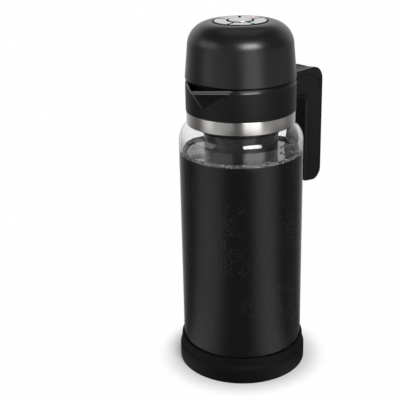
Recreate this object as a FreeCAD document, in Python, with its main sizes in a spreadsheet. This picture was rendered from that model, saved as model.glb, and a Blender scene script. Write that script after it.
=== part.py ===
import FreeCAD, Part
import math
import os
from types import SimpleNamespace

import Sketcher

# Electric cold brew coffee maker: a glass carafe in a rubber boot, a collar with a pinched
# spout and a side handle, and a lift-off drive head with six push buttons. The head's motor
# turns a small impeller at the foot of a riser tube, which lifts water over the filter basket.
# Frame: origin on the carafe's axis at the floor, +Z up, handle along +X, spout along -X.

SIZES = {
    # rubber boot and the cushion the glass stands on
    "boot_wall": 3.0,
    "boot_height": 23.0,
    "boot_floor": 3.0,
    "boot_foot_round": 3.0,
    "boot_lip_round": 1.8,
    "boot_clearance": 0.1,
    "cushion_inset": 10.5,
    "cushion_thickness": 2.0,
    # glass carafe
    "glass_height": 236.0,
    "glass_wall": 2.8,
    "glass_floor": 3.6,
    "glass_foot_round": 7.0,
    "shoulder_width": 11.5,
    "shoulder_angle": 60.0,
    "shoulder_round": 18.4,
    "neck_length": 18.76,
    "neck_clearance": 4.6,
    "neck_rim_round": 1.0,
    "neck_root_round": 1.0,
    # gaskets and steel trim band
    "gasket_clearance": 0.3,
    "rim_gasket_height": 2.0,
    "rim_gasket_width": 2.4,
    "band_inset": 0.4,
    "band_wall": 0.9,
    "band_clearance": 0.1,
    # collar
    "collar_clearance": 2.2,
    "collar_wall": 2.8,
    "collar_drop": 10.0,
    "collar_height": 25.8,
    "collar_top_round": 1.2,
    "skirt_rise": 2.16,
    "skirt_wall": 2.0,
    "skirt_clearance": 0.05,
    "ledge_thickness": 2.4,
    "shelf_thickness": 1.6,
    "shelf_width": 2.6,
    "sleeve_wall": 1.6,
    "sleeve_drop": 29.5,
    "sleeve_clearance": 1.0,
    # spout and its strainer
    "spout_overhang": 14.4,
    "spout_half_angle": 34.0,
    "spout_depth": 15.6,
    "spout_keel_width": 1.6,
    "spout_keel_length": 1.4,
    "spout_lip_height": 2.5,
    "spout_lip_width": 0.8,
    "channel_setback": 2.9,
    "strainer_slots": 5,
    "strainer_slot_width": 1.8,
    "strainer_angle": 16.0,
    "strainer_lift": 1.0,
    "strainer_rise": 2.4,
    "strainer_bar": 0.6,
    "pour_slot_width": 2.4,
    "pour_slot_angle": 56.0,
    # handle: inner grip, outer shell and two screws
    "handle_span": 53.5,
    "handle_depth": 23.0,
    "handle_step": 4.8,
    "handle_height": 105.8,
    "handle_width": 21.0,
    "arm_root_height": 18.4,
    "arm_elbow_height": 24.4,
    "handle_top_round": 13.0,
    "handle_foot_round": 10.0,
    "handle_inner_round": 6.0,
    "handle_edge_round": 2.6,
    "shell_thickness": 5.2,
    "shell_side": 1.2,
    "shell_bend": 22.0,
    "shell_overhang": 0.25,
    "thumb_rest_depth": 1.6,
    "thumb_rest_offset": 18.0,
    "thumb_rest_run": 9.0,
    "thumb_rest_radius": 28.0,
    "handle_screw_radius": 1.5,
    "handle_screw_head_radius": 2.8,
    "handle_screw_head_height": 1.4,
    "handle_screw_length": 14.0,
    "handle_screw_spread": 6.0,
    "handle_screw_drop": 13.6,
    "handle_screw_sink": 0.5,
    "screw_clearance": 0.05,
    "screw_head_clearance": 0.3,
    # drive head housing
    "head_overhang": 0.2,
    "head_gap": 0.6,
    "head_height": 46.1,
    "head_round": 19.0,
    "head_inner_round": 14.0,
    "head_taper_angle": 5.2,
    "head_wall": 2.6,
    "head_foot_round": 0.6,
    "crown_width": 1.86,
    "well_depth": 4.5,
    "well_floor": 2.2,
    "well_edge_round": 0.8,
    # drive chassis, its seal and its screws
    "chassis_inset": 0.5,
    "chassis_flange": 2.5,
    "chassis_clearance": 0.3,
    "plug_clearance": 2.6,
    "plug_wall": 2.0,
    "plug_round": 1.0,
    "spigot_radius": 5.6,
    "spigot_drop": 3.0,
    "bush_tower_radius": 6.0,
    "bush_tower_height": 6.0,
    "head_seal_height": 2.0,
    "seal_clearance": 0.3,
    "chassis_post_radius": 3.0,
    "chassis_post_height": 12.0,
    "chassis_screw_offset": 2.4,
    "chassis_screws": 4,
    "chassis_screw_angle": 45.0,
    "chassis_screw_radius": 1.1,
    "chassis_screw_head_radius": 2.1,
    "chassis_screw_head_height": 1.2,
    "chassis_screw_length": 8.0,
    # motor, its mount and the batteries
    "mount_inset": 2.0,
    "mount_thickness": 2.0,
    "post_radius": 3.2,
    "post_inset": 4.9,
    "post_angle": 30.0,
    "mount_screw_radius": 1.3,
    "mount_screw_head_radius": 2.5,
    "mount_screw_head_height": 1.5,
    "mount_screw_length": 8.0,
    "motor_radius": 12.2,
    "motor_headroom": 4.4,
    "motor_round": 2.0,
    "motor_nose_radius": 4.0,
    "motor_shaft_radius": 1.0,
    "motor_shaft_engagement": 10.0,
    "running_clearance": 0.05,
    "cell_radius": 7.0,
    "cell_end_inset": 13.0,
    "cell_gap": 1.8,
    "cell_button_radius": 2.6,
    "cell_button_height": 1.0,
    "saddle_height": 4.0,
    "saddle_width": 6.0,
    "saddle_spread": 12.0,
    "saddle_clearance": 0.1,
    # drive shaft, coupling and impeller
    "shaft_radius": 1.5,
    "shaft_inset": 0.4,
    "bush_radius": 3.5,
    "shaft_seal_height": 1.6,
    "coupling_radius": 4.5,
    "coupling_length": 6.0,
    "coupling_gap": 1.5,
    "coupling_lift": 1.0,
    "riser_radius": 7.2,
    "riser_wall": 1.5,
    "riser_gap": 5.4,
    "riser_clearance": 0.1,
    "riser_windows": 4,
    "riser_window_width": 4.0,
    "riser_window_height": 5.0,
    "riser_window_drop": 4.0,
    "foot_height": 4.0,
    "foot_rim": 1.2,
    "foot_hub_radius": 3.0,
    "foot_spokes": 3,
    "foot_spoke_width": 1.2,
    "impeller_gap": 0.6,
    "impeller_length": 9.0,
    "impeller_hub_radius": 2.5,
    "impeller_tip_clearance": 0.5,
    "impeller_blades": 3,
    "impeller_blade_thickness": 0.9,
    "impeller_twist_angle": 60.0,
    # filter basket
    "basket_radius": 31.0,
    "basket_wall": 1.6,
    "basket_length": 190.0,
    "basket_flange_width": 3.6,
    "basket_flange_height": 2.2,
    "basket_seat_clearance": 0.4,
    "basket_window_margin": 14.0,
    "basket_window_height": 116.0,
    "basket_window_rows": 4,
    "basket_window_columns": 6,
    "basket_window_width": 22.0,
    "basket_window_rib": 5.0,
    "mesh_wall": 0.5,
    "mesh_margin": 5.0,
    "basket_cap_height": 3.0,
    "basket_plug_height": 3.0,
    "basket_plug_clearance": 0.1,
    "core_clearance": 0.4,
    "core_wall": 1.2,
    "core_drop": 10.0,
    "lid_height": 2.5,
    "lid_vents": 12,
    "lid_vent_radius": 1.5,
    "lid_vent_circle": 20.0,
    # keypad
    "keypad_angle": 223.0,
    "front_gap_angle": 30.0,
    "rear_gap_angle": 120.0,
    "button_proud": 0.8,
    "button_travel": 1.0,
    "button_rest_gap": 1.4,
    "button_clearance": 0.35,
    "button_round": 0.5,
    "start_button_radius": 9.4,
    "frame_ring_width": 0.9,
    "frame_rib_width": 0.9,
    "frame_rim_width": 1.3,
    "frame_clearance": 0.1,
    "frame_rib_drop": 1.1,
    "stem_radius": 1.5,
    "stem_clearance": 0.4,
    "stem_inset": 5.05,
    "switch_side": 6.0,
    "switch_height": 2.4,
    "switch_pip_radius": 1.4,
    "switch_pip_height": 0.5,
    "switch_clearance": 0.3,
    "board_overhang": 2.2,
    "board_thickness": 1.6,
    "board_drop": 4.8,
    "board_post_radius": 2.4,
    "board_post_inset": 3.5,
    "board_screw_radius": 0.9,
    "board_screw_head_radius": 1.8,
    "board_screw_head_height": 1.0,
    "board_screw_length": 4.5,
    "light_radius": 1.1,
    "light_depth": 1.6,
    "light_inset": 2.25,
    "light_proud": 0.15,
    # charging socket in the back of the head
    "socket_radius": 3.7,
    "socket_rise": 12.6,
    "socket_length": 8.0,
    "socket_inset": 0.4,
    "socket_bore_radius": 2.75,
    "socket_bore_depth": 6.0,
    "socket_pin_radius": 0.9,
    "socket_pin_setback": 1.0,
}


class Size:
    """A number together with the sheet expression that gives it."""

    def __init__(self, value, text):
        self.value = value
        self.text = text

    def __add__(self, other):
        other = as_size(other)
        return Size(self.value + other.value, "(%s + %s)" % (self.text, other.text))

    def __sub__(self, other):
        other = as_size(other)
        return Size(self.value - other.value, "(%s - %s)" % (self.text, other.text))

    def __mul__(self, other):
        other = as_size(other)
        return Size(self.value * other.value, "(%s * %s)" % (self.text, other.text))

    def __truediv__(self, other):
        other = as_size(other)
        return Size(self.value / other.value, "(%s / %s)" % (self.text, other.text))

    def __neg__(self):
        return Size(-self.value, "(0 - %s)" % self.text)


def as_size(number):
    return number if isinstance(number, Size) else Size(float(number), repr(float(number)))


def cosine(angle):
    return Size(math.cos(math.radians(angle.value)), "cos(%s)" % angle.text)


def sine(angle):
    return Size(math.sin(math.radians(angle.value)), "sin(%s)" % angle.text)


def tangent(angle):
    return Size(math.tan(math.radians(angle.value)), "tan(%s)" % angle.text)


doc = FreeCAD.newDocument("ColdBrewMaker")
sheet = doc.addObject("Spreadsheet::Sheet", "Sizes")
for row, (alias, number) in enumerate(SIZES.items(), start=1):
    sheet.set("A%d" % row, alias)
    sheet.set("B%d" % row, str(number))
    sheet.setAlias("B%d" % row, alias)
doc.recompute()
d = SimpleNamespace(**{alias: Size(float(number), "Sizes." + alias) for alias, number in SIZES.items()})
ZERO = as_size(0)
FULL_TURN = as_size(360)
HALF_TURN = as_size(180)
QUARTER_TURN = as_size(90)
UP = FreeCAD.Vector(0, 0, 1)
parts = []


# ---- document helpers ----

def bind(item, **sizes):
    """Sets properties to their values and ties them to the sheet."""
    for name, number in sizes.items():
        setattr(item, name, number.value)
        item.setExpression(name, number.text)


def make_body(label, angle=None):
    """A sub-part with its own origin, turned about Z by angle."""
    body = doc.addObject("PartDesign::Body", label)
    body.Label = label
    body.AllowCompound = True
    if angle is not None:
        body.Placement = FreeCAD.Placement(FreeCAD.Vector(), FreeCAD.Rotation(UP, angle.value))
        body.setExpression("Placement.Rotation.Angle", angle.text)
    parts.append(body)
    return body


def make_sketch(body, role, offset=ZERO):
    """A sketch on one of the body's origin planes, moved along the plane's normal."""
    sketch = body.newObject("Sketcher::SketchObject", body.Label + "_sketch")
    plane = [item for item in body.Origin.OriginFeatures if item.Role == role][0]
    sketch.AttachmentSupport = (plane, [""])
    sketch.MapMode = "FlatFace"
    sketch.AttachmentOffset = FreeCAD.Placement(FreeCAD.Vector(0, 0, offset.value), FreeCAD.Rotation())
    sketch.setExpression("AttachmentOffset.Base.z", offset.text)
    return sketch


def level(body, height):
    """A sketch that lies flat at the given height."""
    return make_sketch(body, "XY_Plane", height)


def profile(body):
    """A sketch in the plane of X and Z."""
    return make_sketch(body, "XZ_Plane")


def constrain(sketch, rules):
    """Adds constraints, and ties each one that has a size to the sheet."""
    first = sketch.ConstraintCount
    sketch.addConstraint([rule[0] for rule in rules])
    for index, rule in enumerate(rules):
        if len(rule) > 1:
            sketch.setExpression("Constraints[%d]" % (first + index), rule[1].text)


def place_point(geometry, end, across, up):
    """Rules that hold a point at a place measured from the sketch's origin."""
    constraint = Sketcher.Constraint
    return [(constraint("DistanceX", -1, 1, geometry, end, across.value), across),
            (constraint("DistanceY", -1, 1, geometry, end, up.value), up)]


def draw_outline(sketch, corners):
    """A closed outline: each corner is (across, up) or (across, up, radius of its round)."""
    count = len(corners)
    spots = [FreeCAD.Vector(corner[0].value, corner[1].value, 0) for corner in corners]
    entries, exits, arcs = [], [], []
    for index, corner in enumerate(corners):
        spot = spots[index]
        if len(corner) == 2:
            entries.append(spot)
            exits.append(spot)
            arcs.append(None)
            continue
        radius = corner[2].value
        back = (spots[index - 1] - spot).normalize()
        ahead = (spots[(index + 1) % count] - spot).normalize()
        half = back.getAngle(ahead) / 2
        entry = spot + back * (radius / math.tan(half))
        leave = spot + ahead * (radius / math.tan(half))
        centre = spot + (back + ahead).normalize() * (radius / math.sin(half))
        turns_left = (spot - spots[index - 1]).cross(spots[(index + 1) % count] - spot).z > 0
        first, last = (entry, leave) if turns_left else (leave, entry)
        start = math.atan2(first.y - centre.y, first.x - centre.x)
        stop = math.atan2(last.y - centre.y, last.x - centre.x)
        entries.append(entry)
        exits.append(leave)
        arcs.append((Part.ArcOfCircle(Part.Circle(centre, UP, radius), start, stop), turns_left))
    base = sketch.GeometryCount
    lines = [Part.LineSegment(exits[index], entries[(index + 1) % count]) for index in range(count)]
    sketch.addGeometry(lines, False)
    rules = []
    constraint = Sketcher.Constraint
    for index, corner in enumerate(corners):
        before = base + (index - 1) % count
        after = base + index
        if arcs[index] is None:
            rules.append((constraint("Coincident", before, 2, after, 1),))
            rules += place_point(after, 1, corner[0], corner[1])
            continue
        shape, turns_left = arcs[index]
        arc = sketch.addGeometry(shape, False)
        point = sketch.addGeometry(Part.Point(spots[index]), True)
        rules += place_point(point, 1, corner[0], corner[1])
        rules.append((constraint("PointOnObject", point, 1, before),))
        rules.append((constraint("PointOnObject", point, 1, after),))
        rules.append((constraint("Tangent", before, 2, arc, 1 if turns_left else 2),))
        rules.append((constraint("Tangent", arc, 2 if turns_left else 1, after, 1),))
        rules.append((constraint("Radius", arc, corner[2].value), corner[2]))
    constrain(sketch, rules)


def draw_box(sketch, left, right, bottom, top):
    draw_outline(sketch, [(left, bottom), (right, bottom), (right, top), (left, top)])


def draw_bar(sketch, angle, inner, outer, half):
    """A rectangle that points away from the origin at an angle."""
    along, aside = cosine(angle), sine(angle)
    draw_outline(sketch, [
        (along * inner + aside * half, aside * inner - along * half),
        (along * outer + aside * half, aside * outer - along * half),
        (along * outer - aside * half, aside * outer + along * half),
        (along * inner - aside * half, aside * inner + along * half),
    ])


def draw_circle(sketch, radius, across=ZERO, up=ZERO):
    shape = Part.Circle(FreeCAD.Vector(across.value, up.value, 0), UP, radius.value)
    circle = sketch.addGeometry(shape, False)
    rules = place_point(circle, 3, across, up)
    rules.append((Sketcher.Constraint("Radius", circle, radius.value), radius))
    constrain(sketch, rules)


def draw_sector(sketch, inner, outer, half_angle, side_gap):
    """A ring sector about the X axis whose straight sides keep side_gap from their ray."""
    constraint = Sketcher.Constraint
    ends = []
    for radius in (inner, outer):
        ends.append(math.radians(half_angle.value) - math.asin(side_gap.value / radius.value))
    base = sketch.GeometryCount
    for radius, end in zip((inner, outer), ends):
        circle = Part.Circle(FreeCAD.Vector(), UP, radius.value)
        sketch.addGeometry(Part.ArcOfCircle(circle, -end, end), False)
    rules = []
    for number, side in enumerate((-1, 1)):
        low = FreeCAD.Vector(math.cos(ends[0]), side * math.sin(ends[0]), 0) * inner.value
        high = FreeCAD.Vector(math.cos(ends[1]), side * math.sin(ends[1]), 0) * outer.value
        line = sketch.addGeometry(Part.LineSegment(low, high), False)
        turned = half_angle if side > 0 else -half_angle
        rules.append((constraint("Coincident", line, 1, base, number + 1),))
        rules.append((constraint("Coincident", line, 2, base + 1, number + 1),))
        rules.append((constraint("Angle", line, math.radians(turned.value)), turned))
        rules.append((constraint("Distance", -1, 1, line, side_gap.value), side_gap))
    for arc, radius in ((base, inner), (base + 1, outer)):
        rules.append((constraint("Coincident", arc, 3, -1, 1),))
        rules.append((constraint("Radius", arc, radius.value), radius))
    constrain(sketch, rules)


def add_feature(body, kind, sketch):
    feature = body.newObject("PartDesign::" + kind, body.Label + "_" + kind.lower())
    feature.Profile = sketch
    return feature


def turn(body, corners, kind="Revolution"):
    """Turns an outline of (radius, height) corners about Z: Revolution adds, Groove cuts."""
    sketch = profile(body)
    draw_outline(sketch, corners)
    feature = add_feature(body, kind, sketch)
    feature.ReferenceAxis = (sketch, ["V_Axis"])
    bind(feature, Angle=FULL_TURN)
    return feature


def pad(body, sketch, length):
    feature = add_feature(body, "Pad", sketch)
    bind(feature, Length=length)
    return feature


def pocket(body, sketch, depth):
    """Cuts against the sketch's normal, which is downwards from a level sketch."""
    feature = add_feature(body, "Pocket", sketch)
    bind(feature, Length=depth)
    return feature


def pad_both_ways(body, sketch, width):
    feature = pad(body, sketch, width)
    feature.Midplane = True
    return feature


def pocket_both_ways(body, sketch, width):
    feature = pocket(body, sketch, width)
    feature.Midplane = True
    return feature


def repeat_round(body, features, count):
    """Repeats features evenly about Z."""
    pattern = body.newObject("PartDesign::PolarPattern", body.Label + "_pattern")
    axis = [item for item in body.Origin.OriginFeatures if item.Role == "Z_Axis"][0]
    pattern.Originals = features
    pattern.Axis = (axis, [""])
    bind(pattern, Angle=FULL_TURN)
    pattern.Occurrences = int(count.value)
    pattern.setExpression("Occurrences", count.text)
    body.Tip = pattern
    return pattern


def round_edges(body, radius, wanted):
    """Rounds the edges of the body so far for which wanted(edge) is true."""
    doc.recompute()
    base = body.Tip
    names = ["Edge%d" % (index + 1) for index, edge in enumerate(base.Shape.Edges) if wanted(edge)]
    fillet = body.newObject("PartDesign::Fillet", body.Label + "_round")
    fillet.Base = (base, names)
    bind(fillet, Radius=radius)
    body.Tip = fillet
    return fillet


def lies_at(edge, height):
    """True for an edge that lies wholly at one height."""
    box = edge.BoundBox
    return abs(box.ZMin - height.value) < TOUCH and abs(box.ZMax - height.value) < TOUCH


def ring_places(circle, angles):
    """Centres (across, up) on a circle at the given angles."""
    return [(circle * cosine(angle), circle * sine(angle)) for angle in angles]


def even_angles(count, first=ZERO):
    return [first + FULL_TURN * index / count for index in range(int(count.value))]


def pad_circles(body, height, length, radius, places):
    """Round pegs that stand on a level: one at each place."""
    sketch = level(body, height)
    for across, up in places:
        draw_circle(sketch, radius, across, up)
    return pad(body, sketch, length)


def bore_circles(body, height, depth, radius, places):
    """Round holes cut down from a level: one at each place."""
    sketch = level(body, height)
    for across, up in places:
        draw_circle(sketch, radius, across, up)
    return pocket(body, sketch, depth)


TOUCH = 1e-4   # two places nearer than this count as one
CENTRE = [(ZERO, ZERO)]

# ---- places that several pieces share ----

slope = tangent(d.shoulder_angle)
head_slope = tangent(d.head_taper_angle)
head_wall_across = d.head_wall / cosine(d.head_taper_angle)

# radii, from the filter basket outwards
basket_bore = d.basket_radius - d.basket_wall
basket_flange_radius = d.basket_radius + d.basket_flange_width
sleeve_bore = d.basket_radius + d.sleeve_clearance
sleeve_radius = sleeve_bore + d.sleeve_wall
neck_bore = sleeve_radius + d.neck_clearance
neck_radius = neck_bore + d.glass_wall
glass_radius = neck_radius + d.shoulder_width
boot_bore = glass_radius + d.boot_clearance
boot_radius = boot_bore + d.boot_wall
collar_bore = neck_radius + d.collar_clearance
collar_radius = collar_bore + d.collar_wall
band_radius = collar_radius - d.band_inset
band_bore = band_radius - d.band_wall
skirt_radius = band_bore - d.skirt_clearance
head_radius = collar_radius + d.head_overhang
plug_radius = collar_bore - d.shelf_width - d.plug_clearance
plug_bore = plug_radius - d.plug_wall
mount_radius = plug_bore - d.mount_inset
cell_half_length = mount_radius - d.cell_end_inset
cell_spread = d.motor_radius + d.cell_gap + d.cell_radius
riser_bore = d.riser_radius - d.riser_wall
core_bore = d.riser_radius + d.core_clearance
core_radius = core_bore + d.core_wall
spout_reach = collar_radius + d.spout_overhang
spout_root = collar_bore * cosine(d.spout_half_angle)
spout_flare = collar_radius * sine(d.spout_half_angle) / (
    spout_reach - collar_radius * cosine(d.spout_half_angle))
handle_reach = collar_radius + d.handle_span
handle_inner = handle_reach - d.handle_depth
screw_seat = collar_bore + d.handle_screw_sink

# heights, from the floor upwards
glass_bottom = d.boot_floor + d.cushion_thickness
riser_bottom = glass_bottom + d.glass_floor + d.riser_gap
neck_top = glass_bottom + d.glass_height
neck_root = neck_top - d.neck_length
shoulder_height = neck_root - d.shoulder_width / slope
skirt_bottom = neck_root + d.skirt_rise
ledge_bottom = neck_top + d.rim_gasket_height
ledge_top = ledge_bottom + d.ledge_thickness
sleeve_bottom = ledge_bottom - d.sleeve_drop
flange_bottom = ledge_top + d.basket_seat_clearance
flange_top = flange_bottom + d.basket_flange_height
basket_bottom = flange_top - d.basket_length
window_bottom = basket_bottom + d.basket_window_margin
window_top = window_bottom + d.basket_window_height
plug_bottom = flange_top + d.lid_height
plug_floor = plug_bottom + d.plug_wall
spigot_bottom = plug_bottom - d.spigot_drop
bush_top = plug_floor + d.bush_tower_height
coupling_bottom = bush_top + d.coupling_lift
coupling_middle = coupling_bottom + d.coupling_length / 2
coupling_top = coupling_bottom + d.coupling_length
mount_height = coupling_top + d.coupling_gap
mount_top = mount_height + d.mount_thickness
shaft_top = mount_top + d.motor_shaft_engagement
collar_bottom = neck_top - d.collar_drop
collar_top = collar_bottom + d.collar_height
handle_top = collar_top - d.handle_step
handle_bottom = handle_top - d.handle_height
arm_root_bottom = handle_top - d.arm_root_height
arm_elbow_bottom = handle_top - d.arm_elbow_height
seam_height = handle_top - d.shell_thickness
screw_height = handle_top - d.handle_screw_drop
head_bottom = collar_top + d.head_gap
head_top = head_bottom + d.head_height
chassis_bottom = head_bottom + d.chassis_inset
chassis_top = chassis_bottom + d.chassis_flange
shelf_top = chassis_bottom - d.head_seal_height - d.seal_clearance
socket_height = head_bottom + d.socket_rise
well_bottom = head_top - d.well_depth
well_underside = well_bottom - d.well_floor
board_top = well_underside - d.board_drop
board_bottom = board_top - d.board_thickness
motor_top = board_bottom - d.motor_headroom
button_top = head_top + d.button_proud
button_bottom = well_bottom + d.button_rest_gap
pip_top = board_top + d.switch_height + d.switch_pip_height
stem_bottom = pip_top + d.switch_clearance + d.button_travel


def head_radius_at(height):
    """The radius of the head's tapered outside at a height."""
    return head_radius - (height - head_bottom) * head_slope


def head_bore_at(height):
    return head_radius_at(height) - head_wall_across


def shoulder_at(radius):
    """The height of the glass shoulder's straight slope at a radius."""
    return neck_root - (radius - neck_radius) / slope


# the keypad, its well and the board under it
crown_round = d.head_round * tangent((QUARTER_TURN - d.head_taper_angle) / 2)
well_radius = head_radius_at(head_top) - crown_round - d.crown_width
board_radius = well_radius + d.board_overhang
board_post_circle = board_radius - d.board_post_inset
segment_outer = well_radius - d.frame_clearance - d.frame_rim_width - d.button_clearance
frame_hole = d.start_button_radius + d.button_clearance
segment_inner = frame_hole + d.frame_ring_width + d.button_clearance
segment_side = d.frame_rib_width / 2 + d.button_clearance
side_half_angle = (d.rear_gap_angle - d.front_gap_angle) / 2
rear_half_angle = (HALF_TURN - d.rear_gap_angle) / 2
stem_circle = segment_outer - d.stem_inset
light_circle = segment_outer - d.light_inset
SEGMENTS = {
    "front": (ZERO, d.front_gap_angle),
    "right": (d.front_gap_angle + side_half_angle, side_half_angle),
    "rear_right": (d.rear_gap_angle + rear_half_angle, rear_half_angle),
    "rear_left": (-(d.rear_gap_angle + rear_half_angle), rear_half_angle),
    "left": (-(d.front_gap_angle + side_half_angle), side_half_angle),
}
stem_places = CENTRE + ring_places(stem_circle, [middle for middle, half in SEGMENTS.values()])
board_post_places = ring_places(board_post_circle, [d.front_gap_angle, HALF_TURN, -d.front_gap_angle])
chassis_screw_places = ring_places(plug_radius + d.chassis_screw_offset,
                                   even_angles(d.chassis_screws, d.chassis_screw_angle))
post_places = ring_places(plug_bore - d.post_inset,
                          [d.post_angle, HALF_TURN - d.post_angle, HALF_TURN + d.post_angle, -d.post_angle])


# ---- carafe: boot, cushion, glass, gaskets and band ----

def make_boot():
    body = make_body("base_boot")
    turn(body, [
        (ZERO, ZERO),
        (boot_radius, ZERO, d.boot_foot_round),
        (boot_radius, d.boot_height, d.boot_lip_round),
        (boot_bore, d.boot_height),
        (boot_bore, d.boot_floor),
        (ZERO, d.boot_floor),
    ])


def make_cushion():
    body = make_body("base_cushion")
    radius = glass_radius - d.cushion_inset
    turn(body, [(ZERO, d.boot_floor), (radius, d.boot_floor), (radius, glass_bottom), (ZERO, glass_bottom)])


def make_glass():
    """Straight walls, a rounded shoulder, then a sloping run up to a straight neck."""
    body = make_body("glass_carafe")
    inner_shoulder = shoulder_height - d.glass_wall * tangent(d.shoulder_angle / 2)
    inner_radius = glass_radius - d.glass_wall
    floor = glass_bottom + d.glass_floor
    turn(body, [
        (ZERO, glass_bottom),
        (glass_radius, glass_bottom, d.glass_foot_round),
        (glass_radius, shoulder_height, d.shoulder_round),
        (neck_radius, neck_root, d.neck_root_round),
        (neck_radius, neck_top, d.neck_rim_round),
        (neck_bore, neck_top, d.neck_rim_round),
        (neck_bore, inner_shoulder + (inner_radius - neck_bore) / slope, d.neck_root_round),
        (inner_radius, inner_shoulder, d.shoulder_round - d.glass_wall),
        (inner_radius, floor, d.glass_foot_round - d.glass_wall),
        (ZERO, floor),
    ])


def make_neck_gasket():
    """A wedge ring that fills the corner between the glass shoulder and the collar's skirt."""
    body = make_body("neck_gasket")
    inner = neck_radius + d.gasket_clearance
    turn(body, [
        (inner, shoulder_at(inner) + d.gasket_clearance),
        (skirt_radius, shoulder_at(skirt_radius) + d.gasket_clearance),
        (skirt_radius, skirt_bottom),
        (inner, skirt_bottom),
    ])


def make_rim_gasket():
    body = make_body("rim_gasket")
    turn(body, [
        (neck_radius - d.rim_gasket_width, neck_top),
        (neck_radius, neck_top),
        (neck_radius, ledge_bottom),
        (neck_radius - d.rim_gasket_width, ledge_bottom),
    ])


def make_band():
    body = make_body("steel_band")
    bottom = shoulder_at(band_bore) + d.band_clearance
    turn(body, [
        (band_bore, bottom),
        (band_radius, bottom),
        (band_radius, collar_bottom),
        (band_bore, collar_bottom),
    ])


# ---- collar with the pinched spout ----

def spout_plan(body, height, nose, root, half_width):
    """A level sketch of the beak's plan: a triangle from the nose back to the collar."""
    sketch = level(body, height)
    draw_outline(sketch, [(-nose, ZERO), (-root, -half_width), (-root, half_width)])
    return sketch


def beak(body, kind, setback):
    """The beak as a loft from its small keel at the collar up to its wide rim."""
    reach = spout_reach - setback
    keel = collar_radius - setback
    low = spout_plan(body, collar_top - d.spout_depth, keel, keel - d.spout_keel_length,
                     d.spout_keel_width / 2)
    high = spout_plan(body, collar_top, reach, spout_root - setback,
                      (reach - spout_root + setback) * spout_flare)
    loft = add_feature(body, kind, low)
    loft.Sections = [high]
    loft.Ruled = True
    return loft


def make_collar():
    """Beak and lip first, then the round wall, its bore, and the rings inside it."""
    body = make_body("spout_collar")
    beak(body, "AdditiveLoft", ZERO)
    lip_nose = spout_reach + d.spout_lip_width
    lip = spout_plan(body, collar_top - d.spout_lip_height, lip_nose, spout_root,
                     (lip_nose - spout_root) * spout_flare)
    pad(body, lip, d.spout_lip_height)
    beak(body, "SubtractiveLoft", d.channel_setback)
    turn(body, [
        (collar_bore, collar_bottom),
        (collar_radius, collar_bottom),
        (collar_radius, collar_top, d.collar_top_round),
        (collar_bore, collar_top),
    ])
    turn(body, [
        (ZERO, collar_bottom),
        (collar_bore, collar_bottom),
        (collar_bore, collar_top + d.spout_lip_height),
        (ZERO, collar_top + d.spout_lip_height),
    ], "Groove")
    turn(body, [
        (sleeve_bore, sleeve_bottom),
        (sleeve_radius, sleeve_bottom),
        (sleeve_radius, ledge_bottom),
        (collar_bore, ledge_bottom),
        (collar_bore, ledge_top),
        (sleeve_bore, ledge_top),
    ])
    turn(body, [
        (collar_bore - d.shelf_width, shelf_top - d.shelf_thickness),
        (collar_bore, shelf_top - d.shelf_thickness),
        (collar_bore, shelf_top),
        (collar_bore - d.shelf_width, shelf_top),
    ])
    turn(body, [
        (skirt_radius - d.skirt_wall, skirt_bottom),
        (skirt_radius, skirt_bottom),
        (skirt_radius, collar_bottom + d.collar_wall),
        (skirt_radius - d.skirt_wall, collar_bottom + d.collar_wall),
    ])
    cut_strainer(body)
    cut_pour_slot(body)
    cut_screw_seats(body)


def cut_strainer(body):
    """Upright slots through the wall behind the beak, shorter towards the beak's sides."""
    top = shelf_top - d.shelf_thickness - d.strainer_bar
    half = d.strainer_slot_width / 2
    step = d.strainer_angle / (d.strainer_slots - 1)
    inner = collar_bore - d.collar_wall
    outer = collar_radius + d.collar_wall / 2
    slots = SIZES["strainer_slots"]
    for index in range(slots):
        angle = HALF_TURN - d.strainer_angle / 2 + step * index
        sketch = level(body, top)
        draw_bar(sketch, angle, inner, outer, half)
        rise = d.strainer_rise * abs(index - slots // 2)
        pocket(body, sketch, top - ledge_top - d.strainer_lift - rise)


def cut_pour_slot(body):
    """A curved slot in the ledge that lets coffee up to the strainer."""
    middle = (sleeve_radius + neck_bore) / 2
    half = d.pour_slot_width / 2
    sketch = make_sketch(body, "XY_Plane", ledge_top)
    draw_sector(sketch, middle - half, middle + half, d.pour_slot_angle / 2, d.strainer_bar)
    sketch.AttachmentOffset = FreeCAD.Placement(FreeCAD.Vector(0, 0, ledge_top.value),
                                                FreeCAD.Rotation(UP, HALF_TURN.value))
    pocket(body, sketch, d.ledge_thickness)


def cut_screw_seats(body):
    """Recesses for the heads of the handle's screws, and their clearance holes."""
    for way in (-1, 1):
        for start, end, radius in (
                (collar_bore - d.collar_wall, screw_seat,
                 d.handle_screw_head_radius + d.screw_head_clearance),
                (collar_bore - d.collar_wall, collar_radius + d.collar_wall,
                 d.handle_screw_radius + d.screw_clearance)):
            sketch = make_sketch(body, "YZ_Plane", end)
            draw_circle(sketch, radius, d.handle_screw_spread * way, screw_height)
            pocket(body, sketch, end - start)


# ---- handle ----

def handle_blank(label, width):
    """The handle's whole side outline, padded; it starts inside the collar's face."""
    body = make_body(label)
    sketch = profile(body)
    draw_outline(sketch, [
        (collar_bore, handle_top),
        (handle_reach, handle_top, d.handle_top_round),
        (handle_reach, handle_bottom, d.handle_foot_round),
        (handle_inner, handle_bottom, d.handle_inner_round),
        (handle_inner, arm_elbow_bottom, d.handle_inner_round),
        (collar_bore, arm_root_bottom),
    ])
    pad_both_ways(body, sketch, width)
    return body


def cut_at_parting(body, outer_corners):
    """Cuts away what lies on one side of the parting line, which runs under the arm's top,
    round a bend and down the outer strap. The other corners are clear of the handle."""
    strap = handle_reach - d.shell_side
    low = handle_bottom - d.handle_depth
    cut = profile(body)
    draw_outline(cut, [(ZERO, seam_height), (strap, seam_height, d.shell_bend), (strap, low)] + outer_corners)
    pocket_both_ways(body, cut, d.handle_width + d.handle_depth)


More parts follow.
